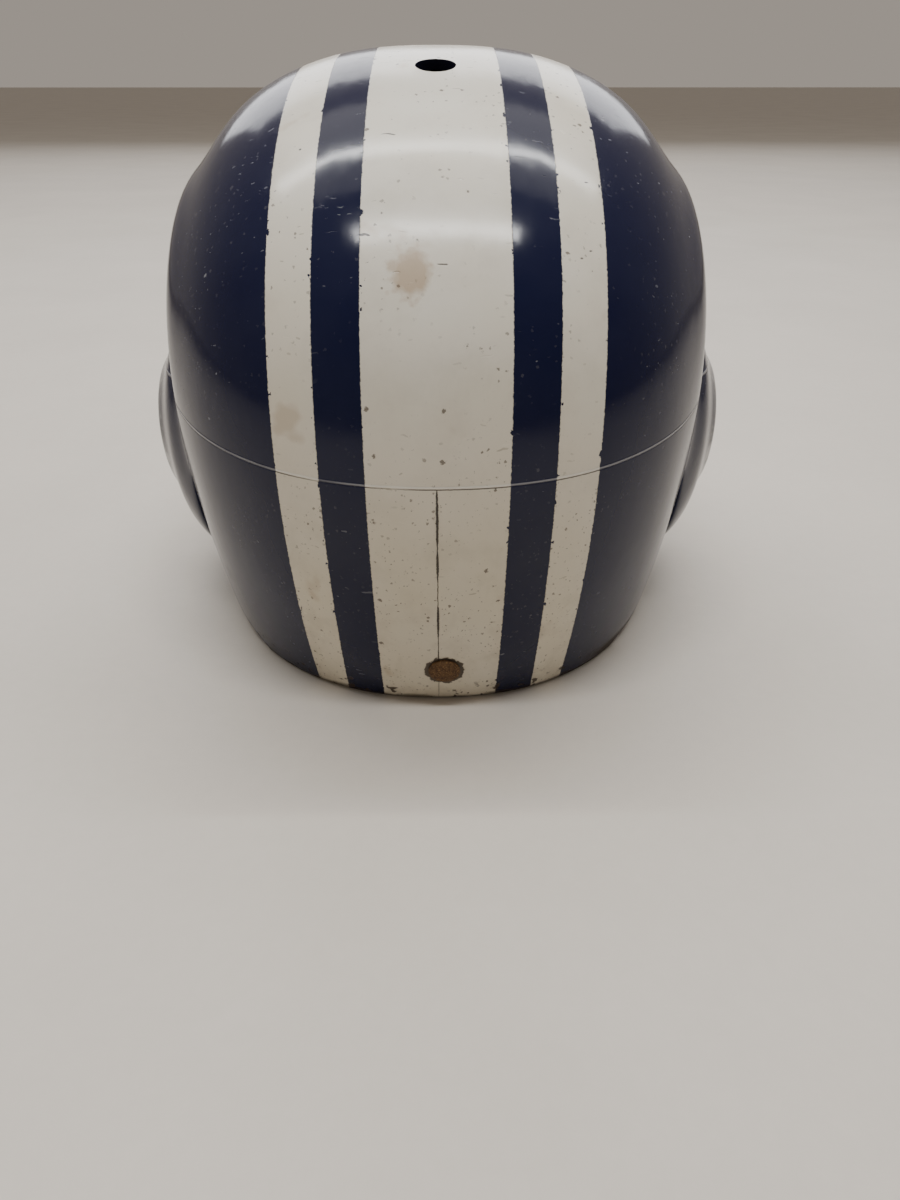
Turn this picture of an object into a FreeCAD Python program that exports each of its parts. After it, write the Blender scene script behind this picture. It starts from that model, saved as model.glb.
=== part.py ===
import FreeCAD, Part
import math
import os
from FreeCAD import Vector

# American football helmet of the moulded-shell, padded-liner kind, resting on a table.
# Millimetres. +Z up, the wearer looks along -Y, the wearer's left is +X.
# Shapes are drawn about the widest section of the shell (Y = 0 there) and are moved by
# ORIGIN_Y when they are written, so the origin lies under the middle of the whole helmet.

# ---- shell, driving dimensions
HALF_WIDTH = 115.0        # centre plane to the side of the shell, ear domes not counted
BACK_REACH = 134.0        # widest section to the back of the shell
FRONT_REACH = 134.0       # widest section to the front of the shell
HEIGHT = 228.5            # table to crown
PARTING_Z = 102.5         # table to the mould's parting line at the back
PARTING_TILT = 5.0        # degrees that the parting line rises towards the front
LOWER_DEPTH = 244.0       # height of the half oval that the lower shell is cut from
CROWN_SHIFT = 28.8        # how far the crown lies in front of the widest section
WALL = 3.8                # shell wall
RIM_ROUNDING = 1.2        # rounding of the shell's trimmed edges
PROFILE_TOP = 2.213       # roundness of the side profile above the parting line
PROFILE_LOW = 1.75        # roundness of the side profile below it
CROSS_MIDDLE = 2.19       # roundness across the shell at the parting line
CROSS_TOP = 2.59          # roundness across the crown, boxier
CROSS_LOW = 2.03          # roundness across the lower shell

# ---- face opening and lower edge
BROW_Z = 149.0            # brow edge at the front
BROW_TEMPLE_Z = 142.0     # brow edge at the temple
FACE_EDGE_Y = -71.0       # front edge of the jaw flaps
TEMPLE_RADIUS = 30.0
JAW_CORNER_RADIUS = 16.0
NECK_ARCH_WIDTH = 92.0
NECK_ARCH_HEIGHT = 11.0
NECK_ARCH_Y = 34.0        # middle of the arch

# ---- ear domes
EAR_Y = 1.0
EAR_Z = 80.0
EAR_RISE = 10.2           # dome top above the side of the shell
EAR_RADIUS = 38.0         # dome radius half way up its side
EAR_DROOP = 0.15          # how much longer the dome is below its middle
EAR_FOOT = 13.5           # the flare at its foot beyond its radius
EAR_HOLE_RADIUS = 13.0

# ---- holes and fastenings
CROWN_HOLE_ANGLE = 66.25  # degrees from the back, measured about the widest section
CROWN_HOLE_RADIUS = 7.5
RIVET_ANGLE = -34.5
RIVET_X = -1.9            # the rivet was set a little off the seam
RIVET_HEAD_RADIUS = 6.3
RIVET_SHANK_RADIUS = 2.4
RIVET_TAIL = 3.8          # clinched end of the rivet beyond the wall
WASHER_RADIUS = 8.0
WASHER_THICKNESS = 1.6
WASHER_STAND = 0.9        # clears the wall's curve
SCREW_RADIUS = 2.4
SCREW_HEAD_RADIUS = 5.2
NUT_FLANGE_RADIUS = 7.0
NUT_BODY_RADIUS = 4.2
NUT_DEPTH = 6.5
NUT_ROOM = 1.6            # between a nut or washer and the pad round it
HOLE_CLEARANCE = 0.4
THREAD_CLEARANCE = 0.05
SEAT_GAP = 0.3            # between pieces that sit on each other
SOFT_GAP = 0.6            # between a pad and its neighbours

# ---- pads
PAD_THICKNESS = 26.0
CROWN_PAD_RADIUS = 62.0
BAND_TOP_Z = 178.0
SIDE_PAD_LOW_Z = 134.0
SIDE_PAD_FRONT_Y = -56.0
SIDE_PAD_BACK_Y = 78.0
FRONT_PAD_LOW_Z = 152.5
FRONT_PAD_TOP_Z = 192.0
FRONT_PAD_HALF_WIDTH = 60.0
FRONT_PAD_BACK_Y = -62.0
BACK_PAD_FRONT_Y = 66.0
BACK_PAD_HALF_WIDTH = 52.0
PAD_SPLIT = 5.0           # gap between neighbouring pads
NAPE_PAD_HALF_WIDTH = 46.0
NAPE_PAD_LOW_Z = 10.0
NAPE_PAD_TOP_Z = 66.0
JAW_PAD_THICKNESS = 24.0
JAW_STUD_RADIUS = 2.3
JAW_SOCKET_RADIUS = 6.5
JAW_SOCKET_DEPTH = 4.8    # shell's inner face to the far side of the socket

# ---- face mask
WIRE_RADIUS = 3.1
MASK_FRONT_Y = -170.0
MASK_CORNER = Vector(86.0, -150.0, 0)
MASK_FRONT_HALF = 30.0
BROW_WIRE_Y = -143.5
BROW_WIRE_Z = 142.0
BROW_WIRE_CORNER = Vector(88.0, -112.0, 0)
BROW_WIRE_HALF = 58.0
UPPER_BAR_Z = 92.0
LOWER_BAR_Z = 50.0
POST_X = 33.0
CLIP_SCREW_Y = -59.0
CLIP_Z = 66.0
CLIP_HEIGHT = 15.0
CLIP_REACH = 30.0         # screw to the wire in the clip's jaw
CLIP_WALL = 3.0
CLIP_STAND = 1.0          # fills the shell's curve behind the clip
BROW_STRAP_X = 22.0
BROW_STRAP_WIDTH = 14.0
BROW_STRAP_WALL = 2.6
BROW_STRAP_STAND = 4.2    # shell to the strap's flat front at the screw
BROW_STRAP_COVER = 1.8    # least cover of the strap over the shell
BROW_PLATE_HALF = 8.0     # screw to the plate's lower edge
BROW_SCREW_Z = 163.0
SCREW_TAIL = -1.6         # end of a screw beyond its nut; below 0 it stops inside

# ---- chin strap
SNAP_Y = -52.0
SNAP_Z = 27.0
SNAP_STUD_RADIUS = 3.0
SNAP_STUD_LENGTH = 3.2     # part of the stud inside the snap cap
STRAP_STAND = 5.2         # shell to the inner face of the strap at its snap
STRAP_WIDTH = 17.0
STRAP_THICKNESS = 2.0
STRAP_BEND_Y = -79.0
CUP_HALF_WIDTH = 40.0
CUP_HEIGHT = 42.0
CUP_FRONT_Y = -134.0
CUP_DEPTH = 34.0
CUP_WALL = 2.4
CUP_LINING = 3.0
CUP_LIFT = 0.6            # cup's lowest edge above the table

ORIGIN_Y = 0.5 * (BACK_REACH + MASK_FRONT_Y - WIRE_RADIUS)
FAR = 400.0
SECTION_PLACES = (0.0, 0.26, 0.5, 0.7, 0.83, 0.91)
SIDE_PLACES = (0.955, 0.975, 0.99)
BORE_LENGTH = 40.0        # long enough to cross any wall
SECTION_POINTS = 24


# ---- the shell's surface

def blend(low, high, share):
    return low + (high - low) * share


def profile_reach(angle, inset):
    """Distance from the parting axis to the shell's side profile, in the centre plane."""
    across = math.cos(angle)
    rise = math.sin(angle)
    reach = (BACK_REACH if across >= 0 else FRONT_REACH) - inset
    height = (HEIGHT - PARTING_Z if rise >= 0 else LOWER_DEPTH) - inset
    power = PROFILE_TOP if rise >= 0 else PROFILE_LOW
    return (abs(across / reach) ** power + abs(rise / height) ** power) ** (-1.0 / power)


def cross_power(angle):
    rise = math.sin(angle)
    return blend(CROSS_MIDDLE, CROSS_TOP if rise >= 0 else CROSS_LOW, rise * rise)


def crown_lean(z):
    lift = max(0.0, z - PARTING_Z) / (HEIGHT - PARTING_Z)
    return CROWN_SHIFT * lift * lift


def shell_point(x_share, angle, inset):
    """Point on the shell, inset inwards, at a share of its half width."""
    power = cross_power(angle)
    reach = profile_reach(angle, inset) * (1.0 - x_share ** power) ** (1.0 / power)
    z = PARTING_Z + reach * math.sin(angle)
    return Vector(x_share * (HALF_WIDTH - inset), reach * math.cos(angle) - crown_lean(z), z)


def shell_x(y, z, inset=0.0):
    """Half width of the shell where it passes through y and z."""
    across = y + crown_lean(z)
    rise = z - PARTING_Z
    angle = math.atan2(rise, across)
    share = math.hypot(across, rise) / profile_reach(angle, inset)
    power = cross_power(angle)
    return (HALF_WIDTH - inset) * max(0.0, 1.0 - share ** power) ** (1.0 / power)


def front_y(x, z, inset=0.0):
    """Y of the shell's front at x and z."""
    near = -crown_lean(z)
    far = -FRONT_REACH - CROWN_SHIFT
    for _ in range(40):
        middle = 0.5 * (near + far)
        if shell_x(middle, z, inset) > abs(x):
            near = middle
        else:
            far = middle
    return near


def closed_curve(points):
    """Smooth closed curve with its points evenly spread along its parameter."""
    curve = Part.BSplineCurve()
    curve.interpolate(Points=points, PeriodicFlag=True, Parameters=list(range(len(points) + 1)))
    return Part.Wire([curve.toShape()])


def section_angles():
    return [-0.5 * math.pi + 2.0 * math.pi * step / SECTION_POINTS for step in range(SECTION_POINTS)]


def shell_section(x_share, side, inset):
    """Outline of the shell where a plane cuts it square to X."""
    points = [shell_point(x_share, angle, inset) for angle in section_angles()]
    return closed_curve([Vector(side * point.x, point.y, point.z) for point in points])


def ear_section(radius, rise, side, inset):
    """Outline of the ear dome at a rise above the side of the shell, longer below than above."""
    x = side * (HALF_WIDTH + rise - inset)
    points = []
    for angle in section_angles():
        low = min(0.0, math.sin(angle))
        reach = (radius - inset) * (1.0 + EAR_DROOP * low * low)
        points.append(Vector(x, EAR_Y + reach * math.cos(angle), EAR_Z + reach * math.sin(angle)))
    return closed_curve(points)


def ear_steps():
    """Radius and rise of the dome's outlines, from the flare at its foot to its top."""
    foot = EAR_RADIUS + EAR_FOOT
    return [
        (foot, -0.56 * EAR_RISE), (foot - 0.4 * EAR_FOOT, -0.08 * EAR_RISE),
        (foot - 0.75 * EAR_FOOT, 0.2 * EAR_RISE), (0.96 * EAR_RADIUS, 0.42 * EAR_RISE),
        (0.82 * EAR_RADIUS, 0.7 * EAR_RISE), (0.58 * EAR_RADIUS, 0.9 * EAR_RISE),
        (0.25 * EAR_RADIUS, EAR_RISE),
    ]


def helmet_form(inset, with_domes=True):
    """The whole rounded form of the shell and its ear domes, with nothing cut away."""
    half = [(share, None) for share in (SECTION_PLACES if with_domes else SECTION_PLACES + SIDE_PLACES)]
    half += [step for step in ear_steps() if with_domes]
    wires = []
    for side in (-1, 1):
        steps = half[::-1] if side < 0 else half[1:]
        for first, second in steps:
            if second is None:
                wires.append(shell_section(first, side, inset))
            else:
                wires.append(ear_section(first, second, side, inset))
    return Part.makeLoft(wires, True)


# ---- shared shapes

def rounded_wire(points, radii, closed=False):
    """Straight runs joined by tangent arcs, one radius for each inner corner."""
    count = len(points)
    corners = range(count) if closed else range(1, count - 1)
    starts = {}
    ends = {}
    arcs = {}
    for corner in corners:
        here = points[corner]
        back = (points[corner - 1] - here).normalize()
        ahead = (points[(corner + 1) % count] - here).normalize()
        radius = radii[corner]
        half = 0.5 * back.getAngle(ahead)
        run = radius / math.tan(half)
        middle = (back + ahead).normalize()
        starts[corner] = here + back * run
        ends[corner] = here + ahead * run
        top = here + middle * (radius / math.sin(half) - radius)
        arcs[corner] = Part.Arc(starts[corner], top, ends[corner]).toShape()
    edges = []
    for corner in range(count if closed else count - 1):
        following = (corner + 1) % count
        first = ends.get(corner, points[corner])
        second = starts.get(following, points[following])
        if (second - first).Length > 1e-6:
            edges.append(Part.makeLine(first, second))
        if following in arcs:
            edges.append(arcs[following])
    return Part.Wire(edges)


def prism_across(outline, radii, half_width):
    """A side-view outline of (y, z) corners, pushed out both ways along X."""
    points = [Vector(-half_width, y, z) for y, z in outline]
    wire = rounded_wire(points, radii, closed=True)
    return Part.Face(wire).extrude(Vector(2.0 * half_width, 0, 0))


def plan_prism(outline, radii, low_z, high_z):
    """A plan outline of (x, y) corners, pushed up from low_z to high_z."""
    points = [Vector(x, y, low_z) for x, y in outline]
    wire = rounded_wire(points, radii, closed=True)
    return Part.Face(wire).extrude(Vector(0, 0, high_z - low_z))


def box(low, high):
    return Part.makeBox(high[0] - low[0], high[1] - low[1], high[2] - low[2], Vector(*low))


def rod(path, start, end, radius):
    """Round wire bent along a path of straight runs and arcs, with rounded ends."""
    edge = path.OrderedEdges[0]
    along = edge.valueAt(0.5 * (edge.FirstParameter + edge.LastParameter)) - start
    ring = Part.Wire([Part.makeCircle(radius, start, along)])
    bar = path.makePipeShell([ring], True, False)
    return bar.fuse([Part.makeSphere(radius, start), Part.makeSphere(radius, end)])


def straight_rod(start, end, radius):
    bar = Part.makeCylinder(radius, (end - start).Length, start, end - start)
    return bar.fuse([Part.makeSphere(radius, start), Part.makeSphere(radius, end)])


def turned(profile, base, axis):
    """A piece turned from (radius, height) corners, standing on base along axis."""
    points = [Vector(radius, 0, height) for radius, height in profile]
    face = Part.Face(Part.makePolygon(points + [points[0]]))
    solid = face.revolve(Vector(0, 0, 0), Vector(0, 0, 1), 360)
    solid.Placement = FreeCAD.Placement(base, FreeCAD.Rotation(Vector(0, 0, 1), axis))
    return solid


def pan_head(radius, height):
    """Corners of a low domed head above its bearing face, from the rim to the axis."""
    corners = []
    for step in range(7):
        angle = math.radians(15.0 * step)
        corners.append((radius * math.cos(angle), 0.35 * height + 0.65 * height * math.sin(angle)))
    corners[-1] = (0.0, height)
    return corners


def mirrored(solid):
    return solid.mirror(Vector(0, 0, 0), Vector(1, 0, 0))


def group(solids):
    return Part.makeCompound(solids)


# ---- where the fastenings sit

def surface_frame(angle, x=0.0):
    """Point and outward direction on the shell's centre line."""
    share = abs(x) / HALF_WIDTH
    here = shell_point(share, angle, 0.0)
    before = shell_point(share, angle - 0.01, 0.0)
    after = shell_point(share, angle + 0.01, 0.0)
    along = (after - before).normalize()
    here.x = x
    return here, Vector(0, along.z, -along.y)


CROWN_POINT, CROWN_AXIS = surface_frame(math.radians(CROWN_HOLE_ANGLE))
RIVET_POINT, RIVET_AXIS = surface_frame(math.radians(RIVET_ANGLE), RIVET_X)
CLIP_X = shell_x(CLIP_SCREW_Y, CLIP_Z)
SNAP_X = shell_x(SNAP_Y, SNAP_Z)
BROW_SEAT_Y = front_y(BROW_STRAP_X, BROW_SCREW_Z)
WIRE_SIDE_Y = CLIP_SCREW_Y - CLIP_REACH
WIRE_SIDE_X = CLIP_X - 3.0
JAW_SNAPS = ((-57.0, 100.0), (-14.0, 20.0))


# ---- the shell

def face_cut():
    outline = [(-FAR, -60.0), (-FAR, BROW_Z), (-FRONT_REACH, BROW_Z), (FACE_EDGE_Y, BROW_TEMPLE_Z),
               (FACE_EDGE_Y, -60.0)]
    radii = [5.0, 5.0, 60.0, TEMPLE_RADIUS, 5.0]
    return prism_across(outline, radii, FAR)


def jaw_corner_cut():
    """Rounds the lower front corner of the jaw flaps."""
    radius = JAW_CORNER_RADIUS
    block = box((-FAR, FACE_EDGE_Y - 1.0, -1.0), (FAR, FACE_EDGE_Y + radius, radius))
    centre = Vector(-FAR, FACE_EDGE_Y + radius, radius)
    return block.cut(Part.makeCylinder(radius, 2.0 * FAR, centre, Vector(1, 0, 0)))


def neck_arch_cut():
    half = 0.5 * NECK_ARCH_WIDTH
    radius = (half * half + NECK_ARCH_HEIGHT ** 2) / (2.0 * NECK_ARCH_HEIGHT)
    centre = Vector(-FAR, NECK_ARCH_Y, NECK_ARCH_HEIGHT - radius)
    return Part.makeCylinder(radius, 2.0 * FAR, centre, Vector(1, 0, 0))


def below_table():
    return box((-FAR, -FAR, -FAR), (FAR, FAR, 0.0))


def cross_bore(side, x, y, z, radius, length=BORE_LENGTH):
    """A round cutter along X, outwards from x on one side."""
    return Part.makeCylinder(radius, length, Vector(side * x, y, z), Vector(side, 0, 0))


def bore_through(point, axis, radius):
    """A round cutter through the wall at a place on the shell's centre line."""
    return Part.makeCylinder(radius, BORE_LENGTH, point - axis * (0.5 * BORE_LENGTH), axis)


def fastening_holes():
    radius = SCREW_RADIUS + HOLE_CLEARANCE
    half = 0.5 * BORE_LENGTH
    holes = []
    for side in (1, -1):
        holes.append(cross_bore(side, CLIP_X - half, CLIP_SCREW_Y, CLIP_Z, radius))
        holes.append(cross_bore(side, SNAP_X - half, SNAP_Y, SNAP_Z, radius))
        holes.append(cross_bore(side, HALF_WIDTH - half, EAR_Y, EAR_Z, EAR_HOLE_RADIUS, 2.0 * BORE_LENGTH))
        strap_base = Vector(side * BROW_STRAP_X, BROW_SEAT_Y + half, BROW_SCREW_Z)
        holes.append(Part.makeCylinder(radius, BORE_LENGTH, strap_base, Vector(0, -1, 0)))
    holes.append(bore_through(CROWN_POINT, CROWN_AXIS, CROWN_HOLE_RADIUS))
    holes.append(bore_through(RIVET_POINT, RIVET_AXIS, RIVET_SHANK_RADIUS + THREAD_CLEARANCE))
    return holes


def trimmed_edges(shell):
    """Edges where the shell's smooth surfaces meet its trimmed rim."""
    uses = {}
    for face in shell.Faces:
        smooth = isinstance(face.Surface, Part.BSplineSurface)
        for edge in face.Edges:
            uses.setdefault(edge.hashCode(), [edge, set()])[1].add(smooth)
    return [edge for edge, kinds in uses.values() if len(kinds) == 2]


def make_shell(outer, inner):
    shell = outer.cut(inner)
    shell = shell.cut([below_table(), face_cut(), jaw_corner_cut(), neck_arch_cut()])
    shell = shell.makeFillet(min(RIM_ROUNDING, 0.4 * WALL), trimmed_edges(shell))
    return shell.cut(fastening_holes())


# ---- rivet, screws, nuts and studs

def make_nape_rivet():
    """Flat-domed rivet through the nape, clinched over its washer."""
    tail = WALL + WASHER_STAND + WASHER_THICKNESS + THREAD_CLEARANCE
    end = WALL + RIVET_TAIL
    clinch = 1.6 * RIVET_SHANK_RADIUS
    head = pan_head(RIVET_HEAD_RADIUS, 2.2)
    head = [(radius, height + SEAT_GAP) for radius, height in head]
    profile = [(0.0, -end), (clinch, -end), (clinch, -tail), (RIVET_SHANK_RADIUS, -tail),
               (RIVET_SHANK_RADIUS, SEAT_GAP), (RIVET_HEAD_RADIUS, SEAT_GAP)] + head
    return turned(profile, RIVET_POINT, RIVET_AXIS)


def make_nape_washer():
    bore = RIVET_SHANK_RADIUS + THREAD_CLEARANCE
    high = -WALL - WASHER_STAND
    low = high - WASHER_THICKNESS
    profile = [(bore, low), (WASHER_RADIUS, low), (WASHER_RADIUS, high), (bore, high)]
    return turned(profile, RIVET_POINT, RIVET_AXIS)


def screw(seat, axis, grip):
    """Pan-head screw: seat is under its head, grip is the length of its shank."""
    profile = [(0.0, -grip), (SCREW_RADIUS, -grip), (SCREW_RADIUS, 0.0), (SCREW_HEAD_RADIUS, 0.0)]
    return turned(profile + pan_head(SCREW_HEAD_RADIUS, 2.8), seat, axis)


def flange_nut(wall_face, axis, inner_form):
    """Flanged nut inside the shell, its flange shaped to the wall it bears on."""
    bore = SCREW_RADIUS + THREAD_CLEARANCE
    flange = 0.55 * NUT_DEPTH
    profile = [(bore, -NUT_DEPTH), (NUT_BODY_RADIUS, -NUT_DEPTH), (NUT_BODY_RADIUS, -flange),
               (NUT_FLANGE_RADIUS, -flange), (NUT_FLANGE_RADIUS, WALL), (bore, WALL)]
    return turned(profile, wall_face, axis).common(inner_form)


def brow_strap_face():
    """Y of the strap's flat front, clear of the shell down to the plate's lower edge."""
    low = front_y(BROW_STRAP_X, BROW_SCREW_Z - BROW_PLATE_HALF) - BROW_STRAP_COVER
    return min(BROW_SEAT_Y - BROW_STRAP_STAND, low)


def make_brow_screws():
    seat = brow_strap_face()
    grip = inner_brow_y() + NUT_DEPTH + SCREW_TAIL - seat
    return group([screw(Vector(side * BROW_STRAP_X, seat, BROW_SCREW_Z), Vector(0, -1, 0), grip)
                  for side in (1, -1)])


def inner_brow_y():
    """Y of the shell's inner face behind a brow screw."""
    return front_y(BROW_STRAP_X, BROW_SCREW_Z, WALL)


def make_brow_nuts(inner_form):
    places = [Vector(side * BROW_STRAP_X, inner_brow_y(), BROW_SCREW_Z) for side in (1, -1)]
    return group([flange_nut(place, Vector(0, -1, 0), inner_form) for place in places])


def make_clip_screws():
    seat = CLIP_X + CLIP_WALL + CLIP_STAND
    grip = seat - shell_x(CLIP_SCREW_Y, CLIP_Z, WALL) + NUT_DEPTH + SCREW_TAIL
    return group([screw(Vector(side * seat, CLIP_SCREW_Y, CLIP_Z), Vector(side, 0, 0), grip)
                  for side in (1, -1)])


def make_clip_nuts(inner_form):
    wall_x = shell_x(CLIP_SCREW_Y, CLIP_Z, WALL)
    return group([flange_nut(Vector(side * wall_x, CLIP_SCREW_Y, CLIP_Z), Vector(side, 0, 0), inner_form)
                  for side in (1, -1)])


def make_chin_studs(seat_form):
    """Snap studs that the chin strap presses on to, each on a collar shaped to the shell."""
    studs = []
    collar_top = STRAP_STAND - SEAT_GAP
    cap_seat = STRAP_STAND + STRAP_THICKNESS
    neck = 0.8 * SNAP_STUD_RADIUS
    top = cap_seat + SNAP_STUD_LENGTH - 0.9
    collar = [(0.0, -3.0), (6.5, -3.0), (6.5, collar_top), (0.0, collar_top)]
    shank = [(0.0, -11.5), (SCREW_RADIUS, -11.5), (SCREW_RADIUS, collar_top), (neck, collar_top),
             (neck, cap_seat + 0.2), (SNAP_STUD_RADIUS, cap_seat + 0.8), (SNAP_STUD_RADIUS, cap_seat + 1.6),
             (0.6 * SNAP_STUD_RADIUS, top), (0.0, top)]
    for side in (1, -1):
        base = Vector(side * SNAP_X, SNAP_Y, SNAP_Z)
        across = Vector(side, 0, 0)
        studs.append(turned(collar, base, across).cut(seat_form).fuse(turned(shank, base, across)))
    return group(studs)


def make_chin_nuts(inner_form):
    wall_x = shell_x(SNAP_Y, SNAP_Z, WALL)
    return group([flange_nut(Vector(side * wall_x, SNAP_Y, SNAP_Z), Vector(side, 0, 0), inner_form)
                  for side in (1, -1)])


def make_jaw_studs(inner_form):
    """Snap studs on the inside of the jaw flaps, two for each jaw pad."""
    neck = 0.8 * JAW_STUD_RADIUS
    profile = [(0.0, -7.4), (neck, -7.4), (JAW_STUD_RADIUS, -6.6), (JAW_STUD_RADIUS, -5.2), (neck, -4.6),
               (neck, -2.2), (JAW_SOCKET_RADIUS - 0.5, -2.2), (JAW_SOCKET_RADIUS - 0.5, WALL), (0.0, WALL)]
    studs = []
    for side in (1, -1):
        for y, z in JAW_SNAPS:
            base = Vector(side * shell_x(y, z, WALL), y, z)
            studs.append(turned(profile, base, Vector(side, 0, 0)).common(inner_form))
    return group(studs)


def make_jaw_sockets(side):
    """Snap sockets set in the back of a jaw pad."""
    bore = JAW_STUD_RADIUS + SEAT_GAP
    low = -JAW_SOCKET_DEPTH
    high = low + 1.6
    profile = [(bore, low), (JAW_SOCKET_RADIUS, low), (JAW_SOCKET_RADIUS, high), (bore, high)]
    return group([turned(profile, Vector(side * shell_x(y, z, WALL), y, z), Vector(side, 0, 0))
                  for y, z in JAW_SNAPS])


# ---- pads

def nut_spaces():
    """Room that the pads leave round the nuts, the rivet's tail and the crown hole."""
    radius = NUT_FLANGE_RADIUS + 1.0
    back = NUT_DEPTH + NUT_ROOM
    spaces = []
    for side in (1, -1):
        clip_x = shell_x(CLIP_SCREW_Y, CLIP_Z, WALL) - back
        snap_x = shell_x(SNAP_Y, SNAP_Z, WALL) - back
        spaces.append(cross_bore(side, clip_x, CLIP_SCREW_Y, CLIP_Z, radius))
        spaces.append(cross_bore(side, snap_x, SNAP_Y, SNAP_Z, radius))
        strap_base = Vector(side * BROW_STRAP_X, inner_brow_y() + back, BROW_SCREW_Z)
        spaces.append(Part.makeCylinder(radius, BORE_LENGTH, strap_base, Vector(0, -1, 0)))
    rivet_space = RIVET_POINT - RIVET_AXIS * (WALL + RIVET_TAIL + NUT_ROOM)
    spaces.append(Part.makeCylinder(WASHER_RADIUS + 1.0, BORE_LENGTH, rivet_space, RIVET_AXIS))
    crown_space = CROWN_POINT - CROWN_AXIS * 12.0
    spaces.append(Part.makeCylinder(CROWN_HOLE_RADIUS + 1.5, BORE_LENGTH, crown_space, CROWN_AXIS))
    return spaces


def make_pads(layer, spaces):
    """Cuts the liner's layer into its separate pads."""
    layer = layer.cut(spaces)
    crown_centre_y = -CROWN_SHIFT
    crown_base = Vector(0, crown_centre_y, BAND_TOP_Z + PAD_SPLIT)
    crown_cut = Part.makeCylinder(CROWN_PAD_RADIUS, FAR, crown_base)
    front_cut = box((-FRONT_PAD_HALF_WIDTH, -FAR, FRONT_PAD_LOW_Z),
                    (FRONT_PAD_HALF_WIDTH, FRONT_PAD_BACK_Y, FRONT_PAD_TOP_Z))
    pads = {"crown_pad": layer.common(crown_cut)}
    outside_crown = layer.cut(Part.makeCylinder(CROWN_PAD_RADIUS + PAD_SPLIT, FAR, crown_base))
    pads["front_pad"] = outside_crown.common(front_cut)
    back_low = box((-BACK_PAD_HALF_WIDTH, BACK_PAD_FRONT_Y, NAPE_PAD_TOP_Z + PAD_SPLIT),
                   (BACK_PAD_HALF_WIDTH, FAR, BAND_TOP_Z))
    pads["back_pad"] = layer.common(back_low)
    near = BACK_PAD_HALF_WIDTH + PAD_SPLIT
    for name, side in (("side_pad_left", 1), ("side_pad_right", -1)):
        low = min(side * near, side * FAR)
        high = max(side * near, side * FAR)
        band = box((low, SIDE_PAD_FRONT_Y, SIDE_PAD_LOW_Z), (high, SIDE_PAD_BACK_Y, BAND_TOP_Z))
        pads[name] = layer.common(band)
    nape = box((-NAPE_PAD_HALF_WIDTH, 0.0, NAPE_PAD_LOW_Z), (NAPE_PAD_HALF_WIDTH, FAR, NAPE_PAD_TOP_Z))
    pads["nape_pad"] = layer.common(nape)
    return pads


def jaw_pad_outline():
    """Side view of a jaw pad, in front of and below the ear."""
    front = FACE_EDGE_Y + 5.0
    return [(front, 12.0), (front, 122.0), (-50.0, 122.0), (-46.0, 84.0), (-32.0, 36.0), (6.0, 28.0),
            (6.0, 12.0)]


def make_jaw_pad(side, layer, spaces):
    radii = [8.0, 7.0, 7.0, 30.0, 24.0, 7.0, 7.0]
    pad = layer.common(prism_across(jaw_pad_outline(), radii, FAR)).cut(spaces)
    keep = box((0.0 if side > 0 else -FAR, -FAR, -FAR), (FAR if side > 0 else 0.0, FAR, FAR))
    pockets = []
    for y, z in JAW_SNAPS:
        socket_x = shell_x(y, z, WALL) - JAW_SOCKET_DEPTH - THREAD_CLEARANCE
        pockets.append(cross_bore(side, socket_x, y, z, JAW_SOCKET_RADIUS + THREAD_CLEARANCE))
        pockets.append(cross_bore(side, socket_x - 3.2, y, z, JAW_STUD_RADIUS + SOFT_GAP + SEAT_GAP))
    return pad.common(keep).cut(pockets)


# ---- face mask

def mask_bar(height, corner, front_half, front, radii):
    """A bar from one side wire round the front to the other, level at its height."""
    points = [Vector(WIRE_SIDE_X, WIRE_SIDE_Y, height), Vector(corner.x, corner.y, height),
              Vector(front_half, front, height), Vector(-front_half, front, height),
              Vector(-corner.x, corner.y, height), Vector(-WIRE_SIDE_X, WIRE_SIDE_Y, height)]
    path = rounded_wire(points, [0.0, radii[0], radii[1], radii[1], radii[0], 0.0])
    return rod(path, points[0], points[-1], WIRE_RADIUS)


def make_mask():
    pieces = {
        "mask_brow_wire": mask_bar(BROW_WIRE_Z, BROW_WIRE_CORNER, BROW_WIRE_HALF, BROW_WIRE_Y, (45.0, 22.0)),
        "mask_upper_bar": mask_bar(UPPER_BAR_Z, MASK_CORNER, MASK_FRONT_HALF, MASK_FRONT_Y, (42.0, 60.0)),
        "mask_lower_bar": mask_bar(LOWER_BAR_Z, MASK_CORNER, MASK_FRONT_HALF, MASK_FRONT_Y, (42.0, 60.0)),
    }
    for name, side in (("left", 1), ("right", -1)):
        side_low = Vector(side * WIRE_SIDE_X, WIRE_SIDE_Y, LOWER_BAR_Z - 6.0)
        side_high = Vector(side * WIRE_SIDE_X, WIRE_SIDE_Y, BROW_WIRE_Z + 4.0)
        pieces["mask_side_wire_" + name] = straight_rod(side_low, side_high, WIRE_RADIUS)
        inner = MASK_FRONT_Y + 1.6 * WIRE_RADIUS
        post_low = Vector(side * POST_X, inner, LOWER_BAR_Z - 4.0)
        post_high = Vector(side * POST_X, inner, UPPER_BAR_Z + 4.0)
        pieces["mask_post_" + name] = straight_rod(post_low, post_high, WIRE_RADIUS)
    return pieces


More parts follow.
